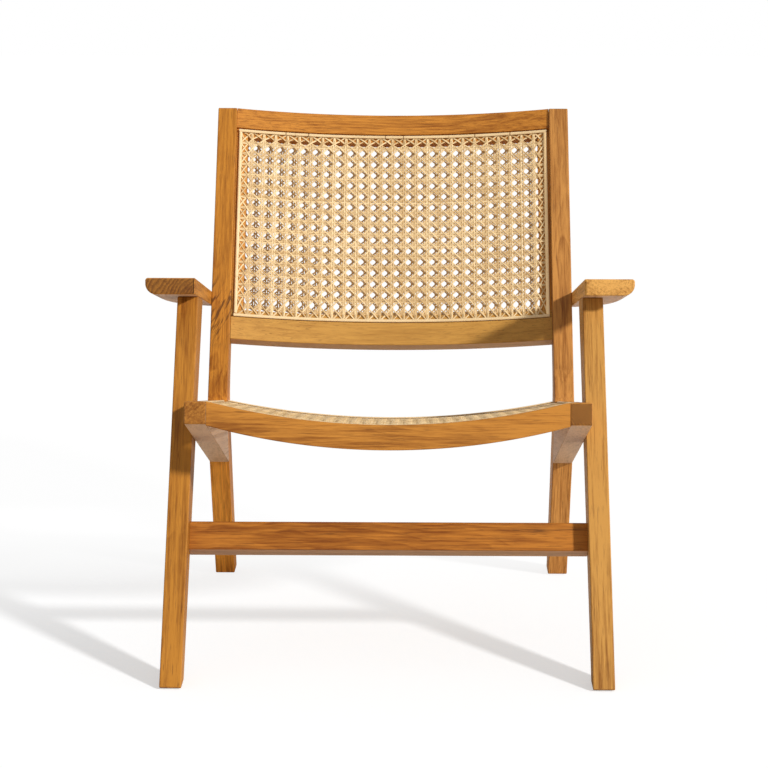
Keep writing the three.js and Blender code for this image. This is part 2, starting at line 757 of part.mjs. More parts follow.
// Finishes
const finish = (color, roughness, metalness = 0) => () =>
  new THREE.MeshStandardMaterial({ color, roughness, metalness });
const honeyTeak = finish(0xbe7d37, 0.5);
const paleTeak = finish(0xd6a055, 0.5);
const brownTeak = finish(0xa55f23, 0.45);
const cane = finish(0xe6cda0, 0.6);
const rattan = finish(0xe3c390, 0.5);
const darkPeg = finish(0x3a2010, 0.6);
const beech = finish(0xd9b98a, 0.6);
const steel = finish(0x8e8e8c, 0.35, 1);
const nylon = finish(0x2e2a27, 0.5);

const piece = (name, geometry, material) => {
  const mesh = new THREE.Mesh(geometry, material());
  mesh.name = name;
  return mesh;
};

const pair = (name, geometry, material) => [
  piece(`${name}_right`, geometry, material),
  piece(`${name}_left`, mirrored(geometry), material),
];

// Assembly
const chair = new THREE.Group();
chair.position.y = -overallDepth / 2;

const seat = groupAt(railTopFront, seatPitch);
const back = groupAt(backFrameTop, backFrameLean);
const frontTie = groupAt(frontFoot, frontLegLean);
const arms = groupAt(armTopFront, armPitch);
chair.add(seat, back, frontTie, arms);

chair.add(...pair("front_leg", frontLeg(), honeyTeak));
chair.add(...pair("rear_leg", rearLeg(), honeyTeak));
chair.add(...pair("side_rail", sideRail(), honeyTeak));
chair.add(...pair("leg_screw_front", legScrew(legScrewPlaces.front, 0), steel));
chair.add(...pair("leg_screw_rear", legScrew(legScrewPlaces.rear, 0), steel));
chair.add(...pair("arm_screw", armScrew(0), steel));
chair.add(...pair("foot_glide_front", glide().translate(legMiddle, frontGlideY, 0), nylon));
chair.add(...pair("foot_glide_rear", glide().translate(boardMiddle, rearGlideY, 0), nylon));

frontTie.add(piece("front_stretcher", stretcher(), brownTeak));

arms.add(...pair("armrest", armrest(), honeyTeak));
arms.add(...pair("arm_dowel_front", dowel(dowelPlaces.front, 0), beech));
arms.add(...pair("arm_dowel_rear", dowel(dowelPlaces.rear, 0), beech));

seat.add(piece("seat_front_rail", seatFrontRail(), honeyTeak));
seat.add(piece("seat_rear_rail", seatRearRail(), honeyTeak));
seat.add(piece("seat_cane", seatNet(), cane));
seat.add(piece("seat_spline_front", seatSplineFront(), rattan));
seat.add(piece("seat_spline_rear", seatSplineRear(), rattan));
seat.add(...pair("seat_spline", seatSplineSide(), rattan));

back.add(piece("back_top_rail", backTopRail(), honeyTeak));
back.add(piece("back_bottom_rail", backBottomRail(), paleTeak));
back.add(...pair("back_batten", backBatten(), honeyTeak));
back.add(piece("back_cane_front", backFrontNet(), cane));
back.add(piece("back_cane_rear", backRearNet(), cane));
for (const [face, depth] of [["front", frontSplineDepth], ["rear", rearSplineDepth]]) {
  back.add(piece(`back_spline_${face}_top`, backSplineAcross(depth, topSplineLow), rattan));
  back.add(piece(`back_spline_${face}_bottom`, backSplineAcross(depth, bottomSplineLow), rattan));
  back.add(...pair(`back_spline_${face}`, backSplineSide(depth), rattan));
}
back.add(...pair("top_rail_pin", pin(topPinHeight, 0), darkPeg));
back.add(...pair("bottom_rail_pin", pin(bottomPinHeight, 0), darkPeg));

export default chair;
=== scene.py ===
"""Visual model of a low teak lounge chair with a caned seat and a back caned on both faces.

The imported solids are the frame. Boards, splines and cane are made again here as finer surfaces in the same
places. The screws, dowels, pins, glides and battens stay as they are and get a finish. Lengths are in metres.
"""

import bmesh
import bpy
import numpy as np
from bpy.props import FloatProperty, FloatVectorProperty, IntProperty, PointerProperty
from mathutils import Matrix


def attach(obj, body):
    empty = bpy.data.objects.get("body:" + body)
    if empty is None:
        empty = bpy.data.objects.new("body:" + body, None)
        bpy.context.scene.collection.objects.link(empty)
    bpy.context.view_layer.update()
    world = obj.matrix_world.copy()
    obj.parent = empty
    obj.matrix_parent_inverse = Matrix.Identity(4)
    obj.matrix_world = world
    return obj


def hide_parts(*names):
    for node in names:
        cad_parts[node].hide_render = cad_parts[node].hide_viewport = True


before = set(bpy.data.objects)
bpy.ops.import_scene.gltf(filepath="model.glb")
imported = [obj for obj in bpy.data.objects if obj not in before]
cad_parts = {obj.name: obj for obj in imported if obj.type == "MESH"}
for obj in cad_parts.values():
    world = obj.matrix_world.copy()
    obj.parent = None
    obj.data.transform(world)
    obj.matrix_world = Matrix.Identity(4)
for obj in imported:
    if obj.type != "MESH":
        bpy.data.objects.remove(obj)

bl_info = {
    "name": "Caned lounge chair",
    "version": (1, 0, 0),
    "blender": (4, 5, 0),
    "location": "3D View > Sidebar > Chair",
    "description": "Boards, splines and woven cane of a low lounge chair, with its finishes and stage",
    "category": "Add Mesh",
}

SIDES = {"right": 1, "left": -1}
MM = 0.001

# Sizes shared with the solids: leans in degrees, and lengths
HALF_DEPTH = 403.65007919481553 * MM
RAIL_INNER = 249 * MM
RAIL_OUTER = 279 * MM
LEG_OUTER = 309 * MM
FIT = 0.3 * MM

SEAT_PITCH = 11
SEAT_HEIGHT = 378.8 * MM
RAIL_SETBACK = 100.8 * MM
RAIL_TOP_LENGTH = 394 * MM
RAIL_FRONT_HEIGHT = 30.8 * MM
RAIL_JOINT_HEIGHT = 103 * MM
RAIL_JOINT_LEAN = 12.3
SEAT_RAIL_THICKNESS = 24 * MM
FRONT_RAIL_HEIGHT = 32.8 * MM
REAR_RAIL_HEIGHT = 34 * MM
REAR_RAIL_FRONT = 400 * MM
RAIL_BELLY = 2 * MM
FRONT_SAG = 31 * MM
REAR_SAG = 25 * MM
CANE_RISE = 3 * MM
SAG_HALF = 246 * MM
SEAT_REBATE = 3.6 * MM
SEAT_LEDGE = 8 * MM
SIDE_LEDGE_OUTER = 260 * MM
SIDE_LEDGE_FRONT = 16 * MM
SIDE_LEDGE_END = 388 * MM

FRONT_LEG_LEAN = 35.4
FRONT_FOOT_THICKNESS = 32 * MM
FRONT_TOP_THICKNESS = 72 * MM
GLIDE_HEIGHT = 1.5 * MM
BACK_LEAN = 33
STILE_LENGTH = 504.6 * MM
STILE_TOP_THICKNESS = 32 * MM
STILE_KNEE_THICKNESS = 44 * MM
SHANK_LEAN = 24.8
SHANK_KNEE_THICKNESS = 57 * MM
REAR_FOOT_THICKNESS = 43 * MM
KNEE_RADIUS = 80 * MM

ARM_PITCH = 12.4
ARM_SETBACK = 300.7717568535426 * MM
ARM_HEIGHT = 519.8211635120324 * MM
ARM_LENGTH = 330 * MM
ARM_WIDTH = 72 * MM
ARM_REAR_WIDTH = 22 * MM
ARM_STRAIGHT = 60 * MM
ARM_DRAW_IN = 4.5
ARM_THICKNESS = 24 * MM
ARM_REAR_THICKNESS = 21 * MM
ARM_UNDER_ROUND = 16 * MM
ARM_TOP_ROUND = 4 * MM

BACK_FRAME_LEAN = 31.63769364941394
BACK_FRAME_SETBACK = 766.4338209063781 * MM
BACK_FRAME_HEIGHT = 725.7760308537271 * MM
BACK_RAIL_THICKNESS = 23 * MM
BACK_REBATE = 5 * MM
TOP_RAIL_LOW = -34.5 * MM
BOTTOM_RAIL_TOP = -360.5 * MM
BOTTOM_RAIL_LOW = -397.5 * MM
BACK_LEDGE = 6.5 * MM
BACK_TONGUE = 14 * MM
BOW = 25 * MM
BOW_RADIUS = (RAIL_INNER**2 + BOW**2) / (2 * BOW)

STRETCHER_RISE = 211.6 * MM
STRETCHER_HEIGHT = 42 * MM
STRETCHER_SETBACK = 23.5 * MM
STRETCHER_THICKNESS = 24 * MM

# Splines: widths, thicknesses and the lines that they lie along
NET_HALF = 245 * MM
BACK_SPLINE_WIDTH = 5 * MM
BACK_SPLINE_THICKNESS = 2.6 * MM
SPLINE_REVEAL = 0.2 * MM
SEAT_SPLINE_WIDTH = 7 * MM
SEAT_SPLINE_THICKNESS = 1.8 * MM
SEAT_SPLINE_BASE = -1.4 * MM
SEAT_SPLINE_FRONT = 19.8 * MM
SEAT_SPLINE_REAR = 404.2 * MM
SEAT_SPLINE_SIDE = 256.2 * MM
SEAT_SPLINE_FRONT_REACH = 252.4 * MM
SEAT_SPLINE_REAR_REACH = 248.4 * MM
SEAT_SPLINE_SIDE_ENDS = (16.3 * MM, 387.7 * MM)
SPLINE_FOOT = 0.3 * MM
SPLINE_WALL_SHARE = 0.35
SPLINE_STEP = 5 * MM
SPLINE_JOINTS = tuple(place * MM for place in (-171, -135, -12, 17, 131, 187))
JOINT_REACH = (1.3 * MM, 0.6 * MM)

# Cane: steps between the outer pairs across and up, where the sheets lie, and how the back's rear one strays
BORDER = 1.5
BACK_STEPS = (24, 14)
BACK_STEP_ACROSS = 18.7 * MM
BACK_STEP_UP = 18.85 * MM
FRONT_CANE_DEPTH = 3.9 * MM
REAR_CANE_DEPTH = 19.1 * MM
FRONT_CANE_LOW = -322.5 * MM
REAR_CANE_SHIFT = 11.65 * MM
REAR_CANE_ASIDE = -5 * MM
REAR_CANE_GATHER = 4.5 * MM
DRIFT_STEPS = 8
SEAT_STEPS = (25, 18)
SEAT_CANE_MIDDLE = -2.5 * MM
SEAT_CANE_HALF = 236 * MM
SEAT_CANE_ENDS = (41 * MM, 383 * MM)
SEAT_RELIEF = 0.4
SEAT_BREADTH = 1.4

# A strand: its section in half widths and half thicknesses, and shares of a step or of its own sizes
STRAND_SECTION = np.array([(-1, -1), (1, -1), (1, 0.1), (0.5, 1), (-0.5, 1), (-1, 0.1)])
PAIR_DRAW_IN = 0.55
PAIR_RISE = 0.5
SLANT_RISE = 1.05
HOLD_SHARE = 0.8
SHORTEST_SLANT = 0.6
FAN_START = 0.5
FAN_REACH = 0.85
LOOK_AHEAD = 0.04
WIDTH_SPREAD = 0.05
SCATTER = 40
SHORTEST_RUN = 1e-4
CANE_SHINE = 0.42
RATTAN_SHINE = 0.38

# An outline's corners are rounder than its faces' edges, so that drawing it in leaves them round
CORNER_SHARE = 1.6
SHARP_ANGLE = np.radians(40)
WELD = 1e-6

# How far a change of finish and the knee's change of grain reach to either side, and the paler teak colours
# that paint light onto undersides and named sides, standing for bounced light
BLEND = 0.03
KNEE_BLEND = 0.06
BOUNCE_PAINT_LIGHT = (0.80, 0.52, 0.31)
BOUNCE_PAINT_DARK = (0.58, 0.35, 0.19)

# The finishes of teak(): the grain's lean, where the rings' middle lies, its seed and what sets it apart. A
# tint is partly the board's own colour and partly painted light: the right-hand legs and armrest, on the key
# lamp's side, are tinted paler, and the left-hand ones darker
FINISHES = {
    "front leg teak right": {
        "lean": FRONT_LEG_LEAN, "pith": (-0.294, 0.05), "seed": 0.7, "tint": (0.94, 1.09, 1.45)
    },
    "front leg teak left": {
        "lean": FRONT_LEG_LEAN, "pith": (0.294, 0.05), "seed": 0.1, "tint": (0.80, 0.77, 0.58)
    },
    # The rear legs' lift paints light: below a height their colour is made lighter, for shanks that lie in
    # shade
    "rear leg teak right": {
        "pith": (-0.27, 0.04), "seed": 1.7, "tint": (0.91, 0.96, 1.35), "lift": (0.30, 1.25)
    },
    "rear leg teak left": {
        "pith": (0.27, 0.04), "seed": 1.1, "tint": (0.88, 0.82, 0.58), "lift": (0.30, 1.85),
        "flames": (0.37, 0.49),
    },
    # The side rails' inner sides are painted paler: painted light that stands for bounced light
    "side rail teak right": {
        "lean": SEAT_PITCH - 90, "pith": (0.012, 0.03), "seed": 2.7, "tint": (0.92, 0.90, 0.85),
        "streaks": 0.3, "end": 0.74, "ring": 0.6, "bounce_paint_side": -1,
    },
    "side rail teak left": {
        "lean": SEAT_PITCH - 90, "pith": (0.012, -0.03), "seed": 2.1, "tint": (0.95, 0.93, 0.9),
        "end": 0.28, "bounce_paint_side": 1,
    },
    "seat_front_rail teak": {
        "lean": SEAT_PITCH, "pith": (0.03, 0.05), "seed": 3.3, "tint": (0.90, 0.86, 0.78)
    },
    "seat_rear_rail teak": {
        "lean": SEAT_PITCH, "pith": (0.03, 0.05), "seed": 4.3, "tint": (0.90, 0.86, 0.78)
    },
    "back_top_rail teak": {
        "lean": BACK_FRAME_LEAN, "pith": (0.02, 0.06), "seed": 5.1, "tint": (0.95, 0.88, 0.74),
        "bounce_paint_under": 0.0,
    },
    "back_bottom_rail teak": {
        "lean": BACK_FRAME_LEAN, "pith": (0.02, 0.06), "seed": 6.1, "tint": (0.93, 1.13, 1.46),
        "streaks": 0.0, "contrast": 0.3, "bounce_paint_under": 0.6,
    },
    "stretcher teak": {
        "lean": FRONT_LEG_LEAN, "pith": (0.08, 0.02), "seed": 7.7, "tint": (0.80, 0.68, 0.52), "streaks": 0.75
    },
    # The right armrest's pale tint is partly painted light from the key lamp's side
    "armrest teak right": {
        "lean": ARM_PITCH - 90, "pith": (0.03, 0.045), "seed": 10.2, "tint": (1.22, 1.48, 2.2), "end": 0.0
    },
    "armrest teak left": {
        "lean": ARM_PITCH - 90, "pith": (-0.03, 0.045), "seed": 8.2, "tint": (0.90, 0.88, 0.75),
        "streaks": 0.3, "end": 0.7, "ring": 0.8,
    },
    "dowel beech": {
        "lean": -ARM_PITCH, "pith": (0.02, 0.02), "seed": 11.0, "tint": (1.3, 1.8, 3.6),
        "streaks": 0.05, "contrast": 0.3,
    },
    "pin wood": {
        "lean": BACK_LEAN, "pith": (0.02, 0.02), "seed": 12.0, "tint": (0.10, 0.09, 0.2),
        "streaks": 0.6, "contrast": 0.3,
    },
    "batten teak": {"lean": BACK_FRAME_LEAN, "pith": (0.03, 0.05), "seed": 13.0, "streaks": 0.2},
}

# Stage: the camera's angles and the lamp's spread in degrees, and the floor from its near shade to its far
CAMERA_PITCH = 10.862584405451312
CAMERA_YAW = -0.69925
CAMERA_ROLL = 0.06880507802263705
SENSOR_WIDTH = 36
KEY_DIRECTION = (-1.0, 0.85, -0.69)
KEY_SPREAD = 5
FLOOR_REACH = 14.0
FLOOR_FADE = (-0.38, 0.52)
FLOOR_NEAR = (0.62, 0.627, 0.63)
FLOOR_FAR = (0.04, 0.04, 0.04)
FLOOR_GLOW = (0.465, 0.972)
FLOOR_UNSEEN = (0.72, 0.72, 0.72)
WHITE = (1, 1, 1)


class TimberSettings(bpy.types.PropertyGroup):
    """Edges and colours of the boards."""

    edge: FloatProperty(
        name="Edge", description="Radius of the boards' eased edges", default=0.0016, unit="LENGTH"
    )
    light: FloatVectorProperty(
        name="Light",
        description="Light teak between the rings",
        default=(0.585, 0.245, 0.040),
        size=3,
        subtype="COLOR",
    )
    dark: FloatVectorProperty(
        name="Dark", description="Teak along the rings", default=(0.25, 0.078, 0.008), size=3, subtype="COLOR"
    )
    streak: FloatVectorProperty(
        name="Streak",
        description="Dark streaks and pores",
        default=(0.07, 0.021, 0.005),
        size=3,
        subtype="COLOR",
    )
    ring: FloatProperty(name="Ring", description="Spacing of the rings", default=0.0052, unit="LENGTH")


class CaneSettings(bpy.types.PropertyGroup):
    """The woven cane and the rattan splines that hold it."""

    pitch: FloatProperty(name="Pitch", description="Spacing of the holes", default=0.0188, unit="LENGTH")
    width: FloatProperty(name="Width", description="Width of a strand", default=0.0024, unit="LENGTH")
    thickness: FloatProperty(
        name="Thickness", description="Thickness of a strand", default=0.0006, unit="LENGTH"
    )
    pair: FloatProperty(
        name="Pair", description="Half the spacing of a pair of strands", default=0.00165, unit="LENGTH"
    )
    rear_across: FloatProperty(
        name="Rear across",
        description="How far left the rear sheet strays at its left",
        default=0.0062,
        unit="LENGTH",
    )
    rear_up: FloatProperty(
        name="Rear up",
        description="How far up the rear sheet strays low on the left",
        default=0.0045,
        unit="LENGTH",
    )
    colour: FloatVectorProperty(
        name="Colour", description="Straw of the cane", default=(0.74, 0.535, 0.275), size=3, subtype="COLOR"
    )
    rattan: FloatVectorProperty(
        name="Rattan", description="Straw of the splines", default=(0.74, 0.54, 0.29), size=3, subtype="COLOR"
    )
    seed: IntProperty(name="Seed", description="Picks the strands' tones", default=7)


class StageSettings(bpy.types.PropertyGroup):
    """Camera, lamp and the light from all round."""

    camera: FloatVectorProperty(
        name="Camera",
        description="Where the camera stands",
        default=(0.035172, -3.648050, 1.046151),
        size=3,
        unit="LENGTH",
    )
    lens: FloatProperty(
        name="Lens", description="Focal length in mm on a sensor 36 mm wide", default=117.1875
    )
    key: FloatProperty(name="Key", description="Strength of the key lamp", default=3.45)
    fill: FloatProperty(name="Fill", description="Strength of the light from all round", default=0.38)


# Side plane: points, directions and where two lines meet, as (y, z) counted from the front of the front feet
def leaning(degrees):
    """A unit vector that leans back from upright by so many degrees."""
    return np.array([np.sin(np.radians(degrees)), np.cos(np.radians(degrees))])


def square_to(direction):
    """The direction a quarter turn towards the back."""
    return np.array([direction[1], -direction[0]])


def towards(start, end):
    """The unit vector from one point to another."""
    return (end - start) / np.linalg.norm(end - start)


def meet(point, direction, other, other_direction):
    """Where two lines meet.

    The first point moves along its line until the cross product with the second line is nought.
    """
    travel = np.cross(other - point, other_direction) / np.cross(direction, other_direction)
    return point + direction * travel


def in_frame(setback, height, lean):
    """A placing function for a leaning frame: local y is turned by the lean, z runs up it, x stays across."""
    sin, cos = leaning(lean)

    def place(x, y, z):
        x, y, z = np.broadcast_arrays(x, y, z)
        return np.stack([x, setback - HALF_DEPTH + y * cos + z * sin, height - y * sin + z * cos], axis=-1)

    return place


in_side_plane = in_frame(0, 0, 0)
in_seat = in_frame(RAIL_SETBACK, SEAT_HEIGHT, SEAT_PITCH)
in_back = in_frame(BACK_FRAME_SETBACK, BACK_FRAME_HEIGHT, BACK_FRAME_LEAN)
in_front_leg = in_frame(0, GLIDE_HEIGHT, FRONT_LEG_LEAN)
in_arm = in_frame(ARM_SETBACK, ARM_HEIGHT, ARM_PITCH)


def on_bow(x, depth, z):
    """A point of the back frame, its depth counted from the bowed front face.

    The bow is a circle through both stiles, deepest in the middle.
    """
    return in_back(x, np.sqrt((BOW_RADIUS + depth) ** 2 - x**2) + BOW - BOW_RADIUS, z)


def sag_at(x, sag):
    """The seat's sag: level at the shoulders and an arc between them."""
    radius = (SAG_HALF**2 + sag**2) / (2 * sag)
    return radius - sag - np.sqrt(radius**2 - np.minimum(np.abs(x), SAG_HALF) ** 2)


def sag_along(y):
    """How deep the cane sags: from the front rail's sag to the rear rail's, drawn up between them."""
    share = np.clip((y - SEAT_RAIL_THICKNESS) / (REAR_RAIL_FRONT - SEAT_RAIL_THICKNESS), 0, 1)
    return FRONT_SAG + (REAR_SAG - FRONT_SAG) * share - 4 * CANE_RISE * share * (1 - share)


# Surfaces
def rounded(corners, radii, steps=5):
    """An outline with rounded corners: each corner becomes an arc that touches both of its sides."""
    corners = np.asarray(corners, float)
    arcs = []
    for place, (corner, radius) in enumerate(zip(corners, np.broadcast_to(radii, len(corners)))):
        if radius == 0:
            arcs.append(corner[None])
            continue
        arriving = towards(corner, corners[place - 1])
        leaving = towards(corner, corners[(place + 1) % len(corners)])
        half = np.arccos(np.clip(arriving @ leaving, -1, 1)) / 2
        middle = towards(np.zeros(2), arriving + leaving)
        count = max(2, int(np.ceil(steps * (np.pi - 2 * half) / (np.pi / 2))) + 1)
        turn = -np.sign(np.cross(arriving, leaving)) * np.linspace(-1, 1, count) * (np.pi / 2 - half)
        (x, y), cos, sin = -middle, np.cos(turn), np.sin(turn)
        arc = np.stack([x * cos - y * sin, x * sin + y * cos], axis=-1)
        arcs.append(corner + middle * radius / np.sin(half) + radius * arc)
    return np.concatenate(arcs)


def mitres(outline):
    """For each point of an outline, how it moves outwards when both its sides move outwards by one."""
    ahead = np.roll(outline, -1, axis=0) - outline
    ahead /= np.linalg.norm(ahead, axis=1, keepdims=True)
    normal = np.stack([ahead[:, 1], -ahead[:, 0]], axis=-1)
    before = np.roll(normal, 1, axis=0)
    x, y = outline.T
    area = np.sum(x * np.roll(y, -1) - y * np.roll(x, -1))
    return (normal + before) / (1 + np.sum(normal * before, axis=1, keepdims=True)) * np.sign(area)


def eased(start, end, edge, steps=4):
    """Stations from one face of a board to the other and their insets: a quarter circle at either face."""
    turn = np.linspace(0, np.pi / 2, steps + 1)
    rise, inset = edge * (1 - np.cos(turn)), edge * (1 - np.sin(turn))
    return np.concatenate([start + rise, end - rise[::-1]]), np.concatenate([inset, inset[::-1]])


def carried(outline, stations, place, insets=0.0):
    """A profile carried along a path: the outline drawn in by a station's inset, placed at each station."""
    insets = np.broadcast_to(insets, len(stations))[:, None, None]
    rings = outline[None] - mitres(outline)[None] * insets
    return place(stations[:, None], rings[..., 0], rings[..., 1])


def volume(points, faces):
    """Six times the volume inside closed faces: the triple products of a fan over each face, added up."""
    fans = ((points[face[..., :1]], points[face[..., 1:-1]], points[face[..., 2:]]) for face in faces)
    return sum(np.sum(a * np.cross(b, c)) for a, b, c in fans)


def mesh_object(name, points, faces, sharp=True):
    """An object at the origin from points and arrays of faces, turned so that the faces point outwards."""
    if volume(points, faces) < 0:
        faces = [face[..., ::-1] for face in faces]
    corners = np.concatenate([face.ravel() for face in faces])
    sizes = np.concatenate([np.full(face.size // face.shape[-1], face.shape[-1]) for face in faces])
    mesh = bpy.data.meshes.new(name)
    mesh.vertices.add(len(points))
    mesh.vertices.foreach_set("co", points.astype(np.float32).ravel())
    mesh.loops.add(len(corners))
    mesh.loops.foreach_set("vertex_index", corners.astype(np.int32))
    mesh.polygons.add(len(sizes))
    mesh.polygons.foreach_set("loop_start", (np.cumsum(sizes) - sizes).astype(np.int32))
    mesh.update(calc_edges=True)
    mesh.shade_smooth()
    if sharp:
        mesh.set_sharp_from_angle(angle=SHARP_ANGLE)
    piece = bpy.data.objects.new(name, mesh)
    bpy.context.scene.collection.objects.link(piece)
    return piece


def marked(piece, tones, along):
    """Gives a piece a tone for each point, and a UV map of how far along and across its strand it lies."""
    mesh = piece.data
    corners = np.empty(len(mesh.loops), dtype=np.int32)
    mesh.loops.foreach_get("vertex_index", corners)
    mesh.uv_layers.new(name="along").data.foreach_set("uv", along[corners].astype(np.float32).ravel())
    mesh.attributes.new("tone", "FLOAT", "POINT").data.foreach_set("value", tones.astype(np.float32))
    return piece


def solid(name, grid):
    """A closed mesh from a grid of rings: quads between rings, and a face over the first and last ring."""
    rings, count = grid.shape[:2]
    index = np.arange(rings * count).reshape(rings, count)
    after = np.roll(index, -1, axis=1)
    quads = np.stack([index[:-1], after[:-1], after[1:], index[1:]], axis=-1).reshape(-1, 4)
    return mesh_object(name, grid.reshape(-1, 3), [quads, index[0][::-1], index[-1]])


def instead(piece, node, material):
    """The piece takes a solid's place on the chair and finish."""
    piece.data.materials.append(material)
    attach(piece, "root")
    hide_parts(node)


def boarded(name, grid, material, weld=False):
    """A board from its grid of rings, whose broad faces shade flat up to their eased edges."""
    piece = solid(name + "_board", grid)
    if weld:
        welded(piece)
    modifier = piece.modifiers.new("even shading", "WEIGHTED_NORMAL")
    modifier.keep_sharp = True
    modifier.weight = 50
    instead(piece, name, material)


def welded(piece):
    """Points that meet are made one, and faces without area go."""
    shape = bmesh.new()
    shape.from_mesh(piece.data)
    bmesh.ops.remove_doubles(shape, verts=shape.verts, dist=WELD)
    bmesh.ops.dissolve_degenerate(shape, edges=shape.edges, dist=WELD)
    bmesh.ops.recalc_face_normals(shape, faces=shape.faces)
    shape.to_mesh(piece.data)
    shape.free()
    piece.data.shade_smooth()
    piece.data.set_sharp_from_angle(angle=SHARP_ANGLE)


# Outlines of the side frame
def side_points():
    """The side frame's corners, worked out from its leans and thicknesses as lines that meet."""
    level = np.array([1.0, 0.0])
    arm_up = leaning(ARM_PITCH)
    arm_top = np.array([ARM_SETBACK, ARM_HEIGHT])
    arm_under = arm_top - arm_up * ARM_THICKNESS
    arm_under_rear = arm_top + square_to(arm_up) * ARM_LENGTH - arm_up * ARM_REAR_THICKNESS
    arm_line = towards(arm_under, arm_under_rear)
    under_arm = arm_under - arm_up * FIT

    front_up = leaning(FRONT_LEG_LEAN)
    front_across = square_to(front_up)
    front_foot = np.array([0, GLIDE_HEIGHT])
    leg_top = meet(front_foot, front_up, under_arm, arm_line)
    foot_back = front_foot + front_across * FRONT_FOOT_THICKNESS
    rear_line = towards(foot_back, leg_top + front_across * FRONT_TOP_THICKNESS)
    foot_rear = meet(foot_back, rear_line, front_foot, level)
    leg_top_rear = meet(foot_back, rear_line, under_arm, arm_line)

    seat_up = leaning(SEAT_PITCH)
    seat_back = square_to(seat_up)
    rail_front = np.array([RAIL_SETBACK, SEAT_HEIGHT])
    rail_low = rail_front - seat_up * RAIL_FRONT_HEIGHT
    knee_top = rail_front + seat_back * RAIL_TOP_LENGTH
    knee_low = knee_top - leaning(-RAIL_JOINT_LEAN) * RAIL_JOINT_HEIGHT
    stile_up, shank_up = leaning(BACK_LEAN), leaning(-SHANK_LEAN)
    stile_back, shank_back = square_to(stile_up), square_to(shank_up)
    stile_top = knee_top + stile_up * STILE_LENGTH
    stile_top_rear = stile_top + stile_back * STILE_TOP_THICKNESS
    stile_line = towards(knee_top + stile_back * STILE_KNEE_THICKNESS, stile_top_rear)
    rear_foot = meet(knee_low, shank_up, front_foot, level)
    rear_foot_back = rear_foot + shank_back * REAR_FOOT_THICKNESS
    shank_line = towards(rear_foot_back, knee_low + shank_back * SHANK_KNEE_THICKNESS)
    rear_foot_rear = meet(rear_foot_back, shank_line, front_foot, level)
    knee_rear = meet(stile_top_rear, stile_line, rear_foot_back, shank_line)
    return {
        "front_leg": [front_foot, foot_rear, leg_top_rear, leg_top],
        "rear_leg": [stile_top, knee_top, knee_low, rear_foot, rear_foot_rear, knee_rear, stile_top_rear],
        "side_rail": [rail_front, rail_low, knee_low - seat_back * FIT, knee_top - seat_back * FIT],
        "knee": (knee_top + knee_rear) / 2,
    }


# Node trees
class Wire:
    """What a node gives out. Arithmetic with a wire makes an arithmetic node."""

    def __init__(self, socket):
        self.socket, self.tree = socket, socket.id_data

    def maths(self, operation, *others, clamp=False):
        """The result of one arithmetic node."""
        settings = {"operation": operation, "use_clamp": clamp}
        return Wire(new_node(self.tree, "ShaderNodeMath", settings, enumerate((self, *others))).outputs[0])

    def __add__(self, other):
        return self.maths("ADD", other)

    def __sub__(self, other):
        return self.maths("SUBTRACT", other)

    def __mul__(self, other):
        return self.maths("MULTIPLY", other)

    def __truediv__(self, other):
        return self.maths("DIVIDE", other)

    def __pow__(self, other):
        return self.maths("POWER", other)

    def __abs__(self):
        return self.maths("ABSOLUTE")


def feed(node, inputs):
    """Links wires to a node's inputs and sets the other inputs' values."""
    for key, value in dict(inputs).items():
        socket = node.inputs[key]
        if isinstance(value, Wire):
            node.id_data.links.new(value.socket, socket)
        elif socket.type == "RGBA":
            socket.default_value = (*value[:3], 1)
        else:
            socket.default_value = value
    return node


def new_node(tree, kind, settings=None, inputs=()):
    """A shader node with its settings and inputs."""
    node = tree.nodes.new(kind)
    for key, value in (settings or {}).items():
        setattr(node, key, value)
    return feed(node, inputs)


def between(value, low, high, to_low=0.0, to_high=1.0):
    """A value carried smoothly from one range to another."""
    inputs = {"Value": value, "From Min": low, "From Max": high, "To Min": to_low, "To Max": to_high}
    settings = {"interpolation_type": "SMOOTHSTEP"}
    return Wire(new_node(value.tree, "ShaderNodeMapRange", settings, inputs).outputs["Result"])


def placed(vector, **moves):
    """A vector moved, turned or stretched by a Mapping node."""
    return Wire(new_node(vector.tree, "ShaderNodeMapping", None, {"Vector": vector, **moves}).outputs[0])


def parts(vector):
    """A vector's x, y and z."""
    node = new_node(vector.tree, "ShaderNodeSeparateXYZ", None, {0: vector})
    return [Wire(socket) for socket in node.outputs]


def noise(vector, scale, detail=2.0, roughness=0.5, stretch=(1, 1, 1)):
    """Noise over a stretched vector."""
    stretched = placed(vector, Scale=stretch)
    inputs = {"Vector": stretched, "Scale": scale, "Detail": detail, "Roughness": roughness}
    return Wire(new_node(vector.tree, "ShaderNodeTexNoise", {"normalize": True}, inputs).outputs["Fac"])


def mixed(share, first, second, blend="MIX"):
    """Two colours mixed by a share."""
    settings = {"data_type": "RGBA", "blend_type": blend}
    return Wire(new_node(share.tree, "ShaderNodeMix", settings, {0: share, 6: first, 7: second}).outputs[2])


def bumped(height, strength, distance):
    """The normal that a height gives."""
    inputs = {"Height": height, "Strength": strength, "Distance": distance}
    return Wire(new_node(height.tree, "ShaderNodeBump", None, inputs).outputs[0])


def scaled(colour, tint):
    """A colour multiplied by a tint."""
    return tuple(np.array(colour) * np.array(tint))


def shader(name):
    """A material, its Principled node and Object coordinates."""
    material = bpy.data.materials.new(name)
    material.use_nodes = True
    tree = material.node_tree
    place = Wire(tree.nodes.new("ShaderNodeTexCoord").outputs["Object"])
    return material, tree.nodes["Principled BSDF"], place


